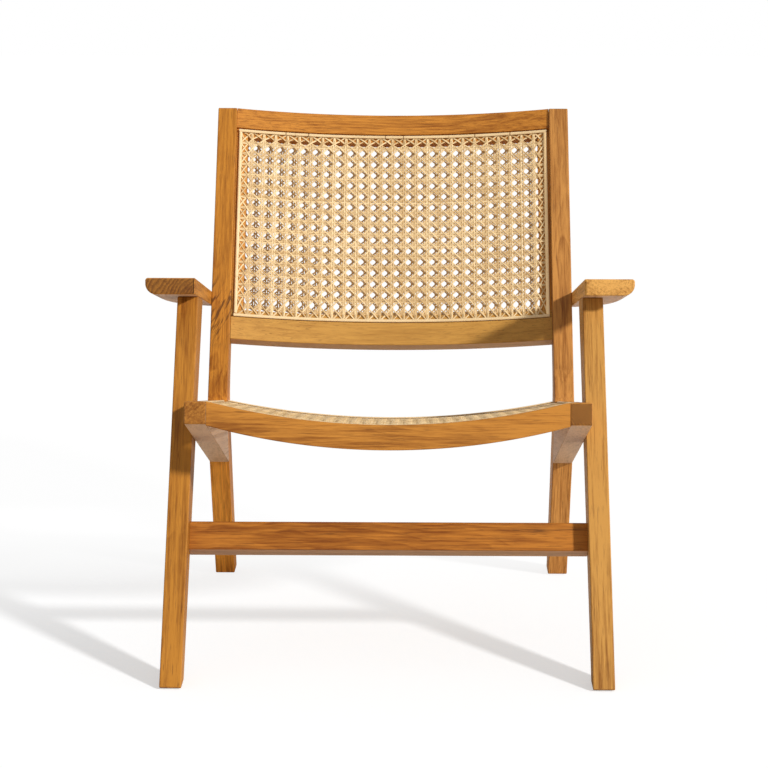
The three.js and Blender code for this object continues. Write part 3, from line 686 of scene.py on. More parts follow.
def teak_grain():
    """Grain of a board whose length is local z: rings about a line beside it, fibres, pores and streaks."""
    if "teak grain" in bpy.data.node_groups:
        return bpy.data.node_groups["teak grain"]
    tree = bpy.data.node_groups.new("teak grain", "ShaderNodeTree")
    for label in ("Vector", "Facing"):
        tree.interface.new_socket(name=label, in_out="INPUT", socket_type="NodeSocketVector")
    for label in ("Light", "Dark", "Streak"):
        tree.interface.new_socket(name=label, in_out="INPUT", socket_type="NodeSocketColor")
    for label in ("Ring", "Streaks", "Contrast", "End", "Bounce paint", "Flames"):
        tree.interface.new_socket(name=label, in_out="INPUT", socket_type="NodeSocketFloat")
    tree.interface.new_socket(name="Color", in_out="OUTPUT", socket_type="NodeSocketColor")
    for label in ("Roughness", "Height"):
        tree.interface.new_socket(name=label, in_out="OUTPUT", socket_type="NodeSocketFloat")
    given = {socket.name: Wire(socket) for socket in tree.nodes.new("NodeGroupInput").outputs}
    place, streak = given["Vector"], given["Streak"]

    sway = (noise(place, 9.0, 3.0, 0.5, (1, 1, 0.3)) - 0.5) * 0.06
    x, y, _ = parts(place)
    ring = (((x * x + y * y).maths("SQRT") + sway) / given["Ring"]).maths("FRACT")
    strong = between(noise(place, 30.0, 2.0, 0.5, (1, 1, 0.1)), 0.35, 0.7)
    late = ring**1.6 * between(ring, 1.0, 0.86) * strong
    soft = noise(place, 120.0, 4.0, 0.65, (1, 1, 0.055))
    fibre = noise(place, 380.0, 4.0, 0.75, (1, 1, 0.04))
    early = between(ring, 0.75, 0.15, 0.35, 1.0)
    pore = between(noise(place, 700.0, 2.0, 0.5, (1, 1, 0.05)), 0.58, 0.70) * early
    broad = between(noise(place, 7.0, 2.0, 0.5, (1, 1, 0.45)), 0.3, 0.7)
    share = late + (soft - 0.5) * 3.2 + (fibre - 0.5) * 4.2 + broad * 0.8
    share = share.maths("MULTIPLY", given["Contrast"], clamp=True)
    colour = mixed(share, given["Light"], given["Dark"])
    flame = between(noise(place, 90.0, 4.0, 0.7, (1, 1, 0.06)), 0.56, 0.72)
    colour = mixed(flame * given["Streaks"], colour, streak)
    colour = mixed(pore * 0.5, colour, streak)
    tilted = placed(place, Rotation=(0, np.radians(-24), 0))
    lick = between(noise(tilted, 210.0, 3.0, 0.6, (1, 0.4, 0.13)), 0.47, 0.60)
    colour = mixed(lick * given["Flames"], colour, streak)
    # Painted light: paler teak is mixed in by the share that teak() sets, standing for bounced light
    colour = mixed(given["Bounce paint"], colour, mixed(share, BOUNCE_PAINT_LIGHT, BOUNCE_PAINT_DARK))
    end = between(abs(parts(given["Facing"])[2]), 0.75, 0.93) * given["End"]
    colour = mixed(end * between(ring, 0.2, 0.8, 0.65, 1.0), colour, streak)
    rough = fibre * 0.16 + 0.42 + pore * 0.18
    height = fibre * 0.35 - pore * 0.6 + late * 0.25
    feed(tree.nodes.new("NodeGroupOutput"), {"Color": colour, "Roughness": rough, "Height": height})
    return tree


def bent_grain(place, knee, pith, seed):
    """The grain's vector for a bent board.

    Below the knee it is turned by the lower lean, above it by the upper, and the two are mixed between.
    """
    centred = placed(place, Location=(0, -knee[0], -knee[1]))
    low, high = (
        placed(centred, Rotation=(np.radians(lean), 0, 0), Location=(*pith, seed))
        for lean in (-SHANK_LEAN, BACK_LEAN)
    )
    inputs = {0: between(parts(centred)[2], -KNEE_BLEND, KNEE_BLEND), 4: low, 5: high}
    return Wire(new_node(place.tree, "ShaderNodeMix", {"data_type": "VECTOR"}, inputs).outputs[1])


def teak(
    name, pith, seed, lean=0, tint=(1, 1, 1), streaks=0.1, contrast=0.6, across=False, ring=1.0, knee=None,
    end=0.3, bounce_paint_side=0, bounce_paint_under=0.85, flames=None, lift=None,
):
    """Oiled teak. The lean turns the grain to the board's length, and pith puts the rings' middle beside it.

    Undersides and one named side are painted paler: painted light that stands for bounced light. flames gives
    the heights between which dark flames cross the board. lift gives a height and how much lighter the board
    is
    painted below it: painted light on lower legs that lie in shade.
    """
    settings = bpy.context.scene.chair_timber
    material, principled, place = shader(name)
    height = parts(place)[2]
    facing = Wire(place.socket.node.outputs["Normal"])
    sideways, _, upward = parts(facing)
    # Painted light: faces that look down, and the named side, are mixed towards paler teak for bounced light
    bounce_paint = between(upward, -0.72, -0.9, 0.0, bounce_paint_under)
    if bounce_paint_side:
        bounce_paint = bounce_paint.maths("MAXIMUM", between(sideways * bounce_paint_side, 0.6, 0.9, 0.0, 0.85))
    licked = 0.0
    if flames:
        low, high = flames
        licked = between(height, low, low + BLEND) * between(height, high, high - BLEND, 0.0, 0.8)
    turn = (np.radians(lean), 0, 0)
    if across:
        place, facing = placed(place, Rotation=turn), placed(facing, Rotation=turn)
        turn = (0, np.radians(90), 0)
    if knee is None:
        vector = placed(place, Rotation=turn, Location=(*pith, seed))
    else:
        vector = bent_grain(place, knee, pith, seed)
    grain = new_node(place.tree, "ShaderNodeGroup", {"node_tree": teak_grain()}, ())
    inputs = {
        "Vector": vector,
        "Light": scaled(settings.light, tint),
        "Dark": scaled(settings.dark, tint),
        "Streak": settings.streak,
        "Ring": settings.ring * ring,
        "Streaks": streaks,
        "Contrast": contrast,
        "Facing": placed(facing, Rotation=turn),
        "End": end,
        "Bounce paint": bounce_paint,
        "Flames": licked,
    }
    colour, rough, rise = (Wire(socket) for socket in feed(grain, inputs).outputs)
    # Painted light: below the lift's height the colour is made lighter, for lower legs that lie in shade
    if lift:
        level, painted_light_gain = lift
        colour = mixed(between(height, level + BLEND, level - BLEND), colour, (painted_light_gain, painted_light_gain, painted_light_gain), "MULTIPLY")
    normal = bumped(rise, 0.35, 0.0004)
    feed(principled, {"Base Color": colour, "Roughness": rough, "Normal": normal, "Specular IOR Level": 0.2})
    return material


def oiled(name, **more):
    """The teak that a name in FINISHES stands for."""
    return teak(name, **FINISHES[name], **more)


def straw(name, colour, shine, reed=False, glow=0.0, joints=()):
    """Straw of cane and rattan: fibres along the strand, a tone for each strand and dark nodes.

    The inner side of cane is dull, and glow paints light onto it with an emission of its own. A reed has no
    inner side, and glow paints light onto all of it.
    Joints are dark cuts at these places across the chair.
    """
    material, principled, place = shader(name)
    tone = Wire(new_node(place.tree, "ShaderNodeAttribute", {"attribute_name": "tone"}).outputs["Fac"])
    run = Wire(new_node(place.tree, "ShaderNodeUVMap", {"uv_map": "along"}).outputs[0])
    fibre = noise(place, 700.0, 3.0, 0.6)
    share = fibre * 0.7 + tone * 0.7 + noise(place, 9.0, 3.0, 0.6) * 0.35
    share = share + noise(run, 1.0, 2.0, 0.5, (30, 0, 1)) * 0.45
    pale, deep = scaled(colour, (1.16, 1.19, 1.24)), scaled(colour, (0.72, 0.62, 0.48))
    tinted = mixed(between(share, 0.6, 1.6), pale, deep)
    blotch = between(noise(run, 1.0, 1.0, 0.5, (90, 0, 1)), 0.66, 0.74)
    tinted = mixed(blotch * 0.55, tinted, scaled(colour, (0.42, 0.28, 0.17)))
    sideways = parts(place)[0]
    for joint in joints:
        cut = between(abs(sideways - joint), *JOINT_REACH)
        tinted = mixed(cut * 0.85, tinted, scaled(colour, (0.30, 0.20, 0.12)))
    # Painted light: glow is an emission that brightens strands lying in shade
    painted_light_colour, strength = colour, glow
    if not reed:
        dull = between(parts(run)[1], 0.5, 0.05)
        tinted = mixed(dull, tinted, scaled(colour, (0.86, 0.80, 0.70)))
        painted_light_colour, strength = scaled(colour, (0.9, 0.82, 0.66)), dull * glow
    look = {"Base Color": tinted, "Roughness": fibre * 0.2 + shine, "Normal": bumped(fibre, 0.3, 0.0002)}
    feed(principled, {**look, "Emission Color": painted_light_colour, "Emission Strength": strength})
    return material


# Boards
class CHAIR_OT_front_legs(bpy.types.Operator):
    """Makes both front legs"""

    bl_idname = "chair.front_legs"
    bl_label = "Front legs"

    def execute(self, context):
        corner = context.scene.chair_timber.edge * CORNER_SHARE
        upright_boards("front_leg", corner, RAIL_OUTER, LEG_OUTER)
        return {"FINISHED"}


class CHAIR_OT_rear_legs(bpy.types.Operator):
    """Makes both bent rear legs, lower leg and back stile in one"""

    bl_idname = "chair.rear_legs"
    bl_label = "Rear legs"

    def execute(self, context):
        corner = context.scene.chair_timber.edge * CORNER_SHARE
        radii = [corner, 0, 0, corner, corner, KNEE_RADIUS, corner]
        knee = side_points()["knee"] - np.array([HALF_DEPTH, 0])
        upright_boards("rear_leg", radii, RAIL_INNER, RAIL_OUTER, knee=knee)
        return {"FINISHED"}


def upright_boards(kind, radii, start, end, **bend):
    """The right and the left board of a kind: its outline carried across, the edges eased all round."""
    outline = rounded(side_points()[kind], radii)
    stations, insets = eased(start, end, bpy.context.scene.chair_timber.edge)
    for hand, side in SIDES.items():
        grid = carried(outline, stations * side, in_side_plane, insets)
        boarded(f"{kind}_{hand}", grid, oiled(f"{kind.replace('_', ' ')} teak {hand}", **bend))


class CHAIR_OT_side_rails(bpy.types.Operator):
    """Makes both side rails of the seat, with the rebate that the cane's side edge lies in"""

    bl_idname = "chair.side_rails"
    bl_label = "Side rails"

    def execute(self, context):
        for hand, side in SIDES.items():
            grid = side_rail_grid(side, context.scene.chair_timber.edge)
            boarded(f"side_rail_{hand}", grid, oiled(f"side rail teak {hand}"), weld=True)
        return {"FINISHED"}


def side_rail_grid(side, edge):
    """The side rail: its outline carried across, its top let down along the ledge on the inner stations."""
    front, low_front, low_rear, top_rear = side_points()["side_rail"]
    corner = edge * CORNER_SHARE
    seat_up = leaning(SEAT_PITCH)
    ledge_places = [SIDE_LEDGE_END, SIDE_LEDGE_END, SIDE_LEDGE_FRONT, SIDE_LEDGE_FRONT]
    ledge = front + square_to(seat_up) * np.array(ledge_places)[:, None]
    arcs = rounded([top_rear, front, low_front, low_rear], [0, corner, corner, 0])[1:]
    outline = np.concatenate([arcs, top_rear[None], ledge])
    stations, insets = eased(RAIL_INNER, RAIL_OUTER, edge)
    half = len(stations) // 2
    stations = np.insert(stations, half, [SIDE_LEDGE_OUTER] * 2)
    insets = np.insert(insets, half, [0, 0])
    depth = np.where(np.arange(len(stations)) <= half, SEAT_REBATE, 0)
    moves = np.concatenate([mitres(outline[:-4]), np.tile(seat_up, (4, 1))])
    rings = outline[None] - moves[None] * insets[:, None, None]
    rings[:, -3:-1] -= seat_up * depth[:, None, None]
    return in_side_plane(stations[:, None] * side, rings[..., 0], rings[..., 1])


class CHAIR_OT_seat_rails(bpy.types.Operator):
    """Makes the front and the rear rail of the seat, whose tops and undersides sag"""

    bl_idname = "chair.seat_rails"
    bl_label = "Seat rails"

    def execute(self, context):
        edge = context.scene.chair_timber.edge
        thick, ledge, drop = SEAT_RAIL_THICKNESS, SEAT_LEDGE, SEAT_REBATE
        high = FRONT_RAIL_HEIGHT
        front = rounded(
            [(0, 0), (thick - ledge, 0), (thick - ledge, -drop), (thick, -drop), (thick, -high), (0, -high)],
            [edge, edge / 2, 0, edge / 2, edge, edge],
        )
        high = REAR_RAIL_HEIGHT
        rear = rounded(
            [(0, -drop), (ledge, -drop), (ledge, 0), (thick, 0), (thick, -high), (0, -high)],
            [edge / 2, 0, edge / 2, edge, edge, edge],
        )
        x = np.linspace(-1, 1, 81)[:, None] * (RAIL_INNER - FIT)
        rails = (
            ("seat_front_rail", front, 0.0, FRONT_SAG, FRONT_RAIL_HEIGHT),
            ("seat_rear_rail", rear, REAR_RAIL_FRONT, REAR_SAG, REAR_RAIL_HEIGHT),
        )
        for name, section, setback, sag, height in rails:
            y, z = section.T[:, None]
            under = z < -height / 2
            sagging = np.where(under, sag_at(x * SAG_HALF / RAIL_INNER, sag + RAIL_BELLY), sag_at(x, sag))
            boarded(name, in_seat(x, setback + y, sagging + z), oiled(f"{name} teak", across=True))
        return {"FINISHED"}


class CHAIR_OT_back_rails(bpy.types.Operator):
    """Makes the bowed top and bottom rails of the back, each with the tongue that the cane is fixed over"""

    bl_idname = "chair.back_rails"
    bl_label = "Back rails"

    def execute(self, context):
        edge = context.scene.chair_timber.edge
        half = edge / 2
        thick, near, far = BACK_RAIL_THICKNESS, BACK_REBATE, BACK_RAIL_THICKNESS - BACK_REBATE
        low, tongue = TOP_RAIL_LOW, TOP_RAIL_LOW - BACK_TONGUE
        top = [(0, 0), (thick, 0), (thick, low), (far, low), (far, tongue), (near, tongue), (near, low)]
        top += [(0, low)]
        low, high, tongue = BOTTOM_RAIL_LOW, BOTTOM_RAIL_TOP, BOTTOM_RAIL_TOP + BACK_TONGUE
        bottom = [(0, low), (0, high), (near, high), (near, tongue), (far, tongue), (far, high)]
        bottom += [(thick, high), (thick, low)]
        stations = np.linspace(-1, 1, 65) * (RAIL_INNER - FIT)
        rails = (
            ("back_top_rail", top, [edge, edge, half, 0, 0, 0, 0, half], "teak"),
            ("back_bottom_rail", bottom, [edge, half, 0, 0, 0, 0, half, edge], "teak_pale"),
        )
        for name, section, radii, slot in rails:
            grid = carried(rounded(section, radii), stations, on_bow)
            boarded(name, grid, oiled(f"{name} teak", across=True))
        return {"FINISHED"}


class CHAIR_OT_stretcher(bpy.types.Operator):
    """Makes the stretcher between the front legs"""

    bl_idname = "chair.stretcher"
    bl_label = "Stretcher"

    def execute(self, context):
        near, far = STRETCHER_SETBACK, STRETCHER_SETBACK + STRETCHER_THICKNESS
        low, high = STRETCHER_RISE, STRETCHER_RISE + STRETCHER_HEIGHT
        corners = [(near, low), (far, low), (far, high), (near, high)]
        section = rounded(corners, context.scene.chair_timber.edge)
        grid = carried(section, np.linspace(-1, 1, 9) * (RAIL_OUTER - FIT), in_front_leg)
        boarded("front_stretcher", grid, oiled("stretcher teak", across=True))
        return {"FINISHED"}


class CHAIR_OT_armrests(bpy.types.Operator):
    """Makes both armrests: flat, straight inside, drawn in to the stile and rounded under the outside"""

    bl_idname = "chair.armrests"
    bl_label = "Armrests"

    def execute(self, context):
        for hand, side in SIDES.items():
            grid = armrest_grid(side, context.scene.chair_timber.edge)
            boarded(f"armrest_{hand}", grid, oiled(f"armrest teak {hand}"))
        return {"FINISHED"}


def armrest_grid(side, edge):
    """Sections across the arm along its length. The width falls as a power of the way to the stile."""
    turn = np.linspace(0, np.pi / 2, 5)
    front = edge * CORNER_SHARE * (1 - np.cos(turn))
    body = ARM_LENGTH * (1 - (1 - np.linspace(0, 1, 40)) ** 1.5)
    y = np.concatenate([front, body[body > front[-1] + 1e-4]])
    inset = np.concatenate([edge * CORNER_SHARE * (1 - np.sin(turn)), np.zeros(len(y) - len(front))])
    along = np.clip((y - ARM_STRAIGHT) / (ARM_LENGTH - ARM_STRAIGHT), 0, 1)
    drawn_in = (ARM_WIDTH - ARM_REAR_WIDTH) * along**ARM_DRAW_IN
    thinner = (ARM_THICKNESS - ARM_REAR_THICKNESS) * y / ARM_LENGTH
    corners = [(0, 0), (0, -ARM_THICKNESS), (ARM_WIDTH, -ARM_THICKNESS), (ARM_WIDTH, 0)]
    section = rounded(corners, [edge, edge, ARM_UNDER_ROUND, ARM_TOP_ROUND], 10)
    outer, under = section[:, 0] > ARM_WIDTH / 2, section[:, 1] < -ARM_THICKNESS / 2
    moves = mitres(section) * inset[:, None, None]
    x = section[:, 0] - outer * drawn_in[:, None] - moves[..., 0]
    z = section[:, 1] + under * thinner[:, None] - moves[..., 1]
    return in_arm((RAIL_OUTER + x) * side, y[:, None], z)


# Cane
def strand_path(kind, base, hand, run, last, spread):
    """A strand's line in steps: pairs run straight and draw together in the border, others slant."""
    if kind == "slant":
        return run, base + hand * run
    border = np.clip(np.maximum(-run, run - last) / BORDER, 0, 1)
    aside = base + hand * spread * (1 - PAIR_DRAW_IN * border)
    return (aside, run) if kind == "up" else (run, aside)


def fanned(u, v, steps):
    """Steps near a corner are drawn into its hole, so that the last slanting strands fan out from it."""
    for corner_u in (-BORDER, steps[0] + BORDER):
        for corner_v in (-BORDER, steps[1] + BORDER):
            aside, up = u - corner_u, v - corner_v
            share = np.clip((np.abs(aside) + np.abs(up) - FAN_START) / FAN_REACH, 0, 1)
            u, v = corner_u + aside * share, corner_v + up * share
    return u, v


def strand_families(steps, thickness, spread, hold):
    """Every family of strands: its kind, hand, base lines, first and last place, and the stops of one repeat.

    Upright pairs stand at whole steps across and level pairs at whole steps up, and the two strands of a pair
    take turns in front. Slanting strands run where across plus or minus up is a whole step and a half, one
    hand over the upright pairs and under the level ones, the other hand under and over.
    """
    near, far = PAIR_RISE * thickness, SLANT_RISE * thickness
    low, across, up = -BORDER, steps[0] + BORDER, steps[1] + BORDER
    for hand in (-1, 1):
        for kind, lines, reach, weave in (("up", steps[0], up, 1), ("level", steps[1], across, -1)):
            base = np.arange(lines + 1.0)
            lift = weave * hand * near
            stops = [(-spread, lift), (spread, -lift), (0.5 - hold, 0), (0.5 + hold, 0)]
            yield kind, hand, base, np.full(len(base), low), np.full(len(base), reach), stops
        ends = (low - hand * low, low - hand * across, up - hand * low, up - hand * across)
        base = np.arange(np.floor(min(ends)), np.ceil(max(ends))) + 0.5
        first = np.maximum(low, np.minimum((low - base) * hand, (up - base) * hand))
        last = np.minimum(across, np.maximum((low - base) * hand, (up - base) * hand))
        kept = last - first > SHORTEST_SLANT
        lift = hand * far
        stops = [(-hold, lift), (hold, lift), (0.5 - hold, -lift), (0.5 + hold, -lift)]
        yield "slant", hand, base[kept], first[kept], last[kept], stops


def woven(name, steps, sheet, surface, settings, relief=1.0, breadth=1.0):
    """Six-way cane. Each strand is a flat section carried along its line, and rises and falls at crossings.

    steps counts the weave's steps across and up, sheet() lays steps out in metres on the flat sheet, and
    surface() bends the flat sheet to its place. The section stands square to the strand's line, which is
    found from two near places. relief multiplies the rise and fall, and breadth the strands' width.
    """
    spread = settings.pair / settings.pitch
    hold = (settings.pair + settings.width / 2) / settings.pitch * HOLD_SHARE
    rng = np.random.default_rng(settings.seed + len(name))
    section = STRAND_SECTION * [settings.width * breadth / 2, settings.thickness / 2]
    points, faces, tones, uvs = [], [], [], []
    count = 0
    for kind, hand, base, first, last, stops in strand_families(steps, settings.thickness, spread, hold):
        base, first, last, stops = base[:, None], first[:, None], last[:, None], np.array(stops)
        repeats = np.arange(-3, max(steps) + 4)[:, None]
        run = np.clip((repeats + stops[:, 0]).reshape(1, -1), first, last)
        rise = np.tile(stops[:, 1], len(repeats)) * relief
        end = steps[1] if kind == "up" else steps[0]

        def at(run):
            return np.stack(sheet(*fanned(*strand_path(kind, base, hand, run, end, spread), steps)), axis=-1)

        ahead = at(np.minimum(run + LOOK_AHEAD, last)) - at(np.maximum(run - LOOK_AHEAD, first))
        ahead /= np.linalg.norm(ahead, axis=-1, keepdims=True)
        flat = at(run)
        offset = section[:, 0] * rng.normal(1, WIDTH_SPREAD, (len(run), 1, 1))
        x, z = flat[..., :1] + offset * ahead[..., 1:], flat[..., 1:] - offset * ahead[..., :1]
        grid = surface(x, z, rise[:, None] + section[:, 1])
        points.append(grid.reshape(-1, 3))
        tones.append(np.broadcast_to(rng.random(len(run))[:, None, None], x.shape).ravel())
        along = run * settings.pitch + rng.random(len(run))[:, None] * SCATTER
        marks = np.broadcast_arrays(along[..., None], section[:, 1] >= 0)
        uvs.append(np.stack(marks, axis=-1).reshape(-1, 2))

        index = np.arange(x.size).reshape(x.shape) + count
        count += x.size
        live = np.diff(run, axis=1) > SHORTEST_RUN
        after = np.roll(index, -1, axis=2)
        quads = np.stack([index[:, :-1], after[:, :-1], after[:, 1:], index[:, 1:]], axis=-1)[live]
        starts = live & ~np.pad(live, ((0, 0), (1, 0)))[:, :-1]
        ends = live & ~np.pad(live, ((0, 0), (0, 1)))[:, 1:]
        near, far = index[:, :-1][starts], index[:, 1:][ends]
        caps = [near[:, [3, 2, 1, 0]], near[:, [5, 4, 3, 0]], far[:, [0, 1, 2, 3]], far[:, [0, 3, 4, 5]]]
        faces += [quads.reshape(-1, 4), *caps]
    points, faces, tones, uvs = (np.concatenate(rows) for rows in (points, faces, tones, uvs))
    used, faces = np.unique(faces, return_inverse=True)
    piece = mesh_object(name, points[used], [faces.reshape(-1, 4)], sharp=False)
    return marked(piece, tones[used], uvs[used])


def laid_out(steps, wide, high, drift=(0.0, 0.0), gather=0.0):
    """A flat sheet's layout: even steps between the outer pairs, and border steps out to the hole lines.

    wide and high hold the first hole line, the first pair, the last pair and the last hole line. The drift
    grows towards the sheet's left, its upward share also grows downwards, and it fades out at the hole lines.
    Gather draws the first level pair down.
    """
    marks_u, marks_v = ([-BORDER, 0, count, count + BORDER] for count in steps)

    def sheet(u, v):
        inside = np.minimum(np.minimum(u, steps[0] - u), np.minimum(v, steps[1] - v)) / BORDER + 1
        left = np.clip(1 - u / DRIFT_STEPS, 0, 1) * np.clip(inside, 0, 1)
        low = np.clip(1 - v / steps[1], 0, 1)
        z = np.interp(v, marks_v, high) - gather * np.clip(1 - np.abs(v), 0, 1)
        return np.interp(u, marks_u, wide) + drift[0] * left, z + drift[1] * left * low

    return sheet


class CHAIR_OT_back_cane(bpy.types.Operator):
    """Weaves the front and the rear sheet of the back"""

    bl_idname = "chair.back_cane"
    bl_label = "Back cane"

    def execute(self, context):
        settings = context.scene.chair_cane
        # The glow paints light onto the sheets' inner sides, which face each other in shade
        material = straw("back cane", settings.colour, CANE_SHINE, glow=0.1)
        middle = BACK_SPLINE_WIDTH / 2
        side = NET_HALF - middle
        low, high = BOTTOM_RAIL_TOP + BACK_LEDGE - middle, TOP_RAIL_LOW - BACK_LEDGE + middle
        wide, tall = BACK_STEPS[0] * BACK_STEP_ACROSS, BACK_STEPS[1] * BACK_STEP_UP
        rear_low = FRONT_CANE_LOW - REAR_CANE_SHIFT
        stray = (-settings.rear_across, settings.rear_up)
        sheets = (
            ("front", FRONT_CANE_DEPTH, -1, 0.0, FRONT_CANE_LOW, (0.0, 0.0), 0.0),
            ("rear", REAR_CANE_DEPTH, 1, REAR_CANE_ASIDE, rear_low, stray, REAR_CANE_GATHER),
        )
        for face, depth, out, aside, first, drift, gather in sheets:
            left = aside - wide / 2
            across, up = [-side, left, left + wide, side], [low, first, first + tall, high]
            sheet = laid_out(BACK_STEPS, across, up, drift, gather)
            surface = lambda u, v, w: on_bow(u, depth + out * w, v)
            name = f"back_cane_{face}"
            instead(woven(name + "_weave", BACK_STEPS, sheet, surface, settings), name, material)
        return {"FINISHED"}


class CHAIR_OT_seat_cane(bpy.types.Operator):
    """Weaves the seat"""

    bl_idname = "chair.seat_cane"
    bl_label = "Seat cane"

    def execute(self, context):
        settings = context.scene.chair_cane
        across = [-SEAT_SPLINE_SIDE, -SEAT_CANE_HALF, SEAT_CANE_HALF, SEAT_SPLINE_SIDE]
        sheet = laid_out(SEAT_STEPS, across, [SEAT_SPLINE_FRONT, *SEAT_CANE_ENDS, SEAT_SPLINE_REAR])
        surface = lambda u, v, w: in_seat(u, v, sag_at(u, sag_along(v)) + SEAT_CANE_MIDDLE + w)
        weave = woven("seat_cane_weave", SEAT_STEPS, sheet, surface, settings, SEAT_RELIEF, SEAT_BREADTH)
        instead(weave, "seat_cane", straw("seat cane", settings.colour, CANE_SHINE))
        return {"FINISHED"}


# Splines
def spline_section(width, thickness):
    """A rattan spline's section: flat below, upright for a third of its height, then an elliptical crown."""
    turn = np.linspace(0, np.pi, 13)
    rise = thickness * SPLINE_WALL_SHARE
    crown = np.stack([-np.cos(turn) * width / 2, rise + (thickness - rise) * np.sin(turn)], axis=-1)
    foot = width / 2 - SPLINE_FOOT
    return np.concatenate([[(foot, 0), (-foot, 0)], crown])


def spline(name, start, end, section, surface, material):
    """A spline: its section carried along its groove.

    surface() takes how far along, across and up a point lies.
    """
    stations = np.linspace(start, end, 2 + int((end - start) / SPLINE_STEP))
    grid = surface(stations[:, None], section[None, :, 0], section[None, :, 1])
    tone = np.random.default_rng(len(name) * 13 + ord(name[-1])).random()
    along = np.repeat(stations, len(section)) + tone * 30
    outside = np.stack([along, np.ones(len(along))], axis=-1)
    piece = marked(solid(name + "_reed", grid), np.full(len(along), tone), outside)
    instead(piece, name, material)


class CHAIR_OT_splines(bpy.types.Operator):
    """Lays the rattan splines that hold the cane in its grooves"""

    bl_idname = "chair.splines"
    bl_label = "Splines"

    def execute(self, context):
        rattan = context.scene.chair_cane.rattan
        plain = straw("rattan", rattan, RATTAN_SHINE, reed=True)
        jointed = straw("jointed rattan", rattan, RATTAN_SHINE, reed=True, joints=SPLINE_JOINTS)
        # The right-hand front spline lies in the stile's shade, and this glow paints light onto it
        painted_light_rattan = straw("rattan with painted light", rattan, RATTAN_SHINE, reed=True, glow=0.3)
        special = {"back_spline_front_top": jointed, "back_spline_front_right": painted_light_rattan}

        def lay(name, start, end, section, surface):
            spline(name, start, end, section, surface, special.get(name, plain))

        middle = BACK_SPLINE_WIDTH / 2
        section = spline_section(BACK_SPLINE_WIDTH, BACK_SPLINE_THICKNESS)
        low, high = BOTTOM_RAIL_TOP + BACK_LEDGE, TOP_RAIL_LOW - BACK_LEDGE
        near = SPLINE_REVEAL + BACK_SPLINE_THICKNESS
        for face, depth, out in (("front", near, -1), ("rear", BACK_RAIL_THICKNESS - near, 1)):
            for edge, line in (("top", high + middle), ("bottom", low - middle)):
                surface = lambda u, a, w: on_bow(u, depth + out * w, line + a)
                lay(f"back_spline_{face}_{edge}", -NET_HALF, NET_HALF, section, surface)
            for hand, side in SIDES.items():
                surface = lambda u, a, w: on_bow(side * (NET_HALF - middle) + a, depth + out * w, u)
                lay(f"back_spline_{face}_{hand}", low + FIT, high - FIT, section, surface)
        section = spline_section(SEAT_SPLINE_WIDTH, SEAT_SPLINE_THICKNESS)
        ends = (
            ("front", SEAT_SPLINE_FRONT, FRONT_SAG, SEAT_SPLINE_FRONT_REACH),
            ("rear", SEAT_SPLINE_REAR, REAR_SAG, SEAT_SPLINE_REAR_REACH),
        )
        for edge, line, sag, reach in ends:
            surface = lambda u, a, w: in_seat(u, line + a, sag_at(u, sag) + SEAT_SPLINE_BASE + w)
            lay(f"seat_spline_{edge}", -reach, reach, section, surface)
        for hand, side in SIDES.items():
            surface = lambda u, a, w: in_seat(side * SEAT_SPLINE_SIDE + a, u, SEAT_SPLINE_BASE + w)
            lay(f"seat_spline_{hand}", *SEAT_SPLINE_SIDE_ENDS, section, surface)
        return {"FINISHED"}


# Finishes of the solids that stay
def worn_metal(name):
    """Zinc-bright steel with fine turning marks and a little dirt."""
    material, principled, place = shader(name)
    marks = noise(place, 1500.0, 2.0, 0.5, (1, 0.2, 0.2))
    colour = mixed(between(noise(place, 240.0, 3.0, 0.6), 0.45, 0.7), (0.42, 0.42, 0.41), (0.20, 0.18, 0.16))
    feed(principled, {"Base Color": colour, "Metallic": 1.0, "Roughness": marks * 0.3 + 0.25})
    return material


def moulded(name, colour):
    """Moulded nylon: a fine matt grain with scuffs."""
    material, principled, place = shader(name)
    scuff = between(noise(place, 160.0, 4.0, 0.6), 0.5, 0.75)
    scuffed = mixed(scuff, colour, scaled(colour, (2.2, 2.2, 2.2)))
    feed(principled, {"Base Color": scuffed, "Roughness": noise(place, 2200.0) * 0.2 + 0.45})
    return material


class CHAIR_OT_fixings(bpy.types.Operator):
    """Finishes the screws, dowels, pins, glides and battens"""

    bl_idname = "chair.fixings"
    bl_label = "Fixings"

    def execute(self, context):
        steel = worn_metal("screw steel")
        pin = oiled("pin wood")
        finishes = {
            "leg_screw_": steel,
            "arm_screw_": steel,
            "foot_glide_": moulded("glide nylon", (0.03, 0.026, 0.023)),
            "arm_dowel_": oiled("dowel beech"),
            "top_rail_pin_": pin,
            "bottom_rail_pin_": pin,
            "back_batten_": oiled("batten teak"),
        }
        for start, material in finishes.items():
            nodes = [node for name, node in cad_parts.items() if name.startswith(start)]
            if not nodes:
                raise RuntimeError(f"no solid is named {start}")
            for slot in (slot for node in nodes for slot in node.material_slots):
                slot.link = "OBJECT"
                slot.material = material
        return {"FINISHED"}


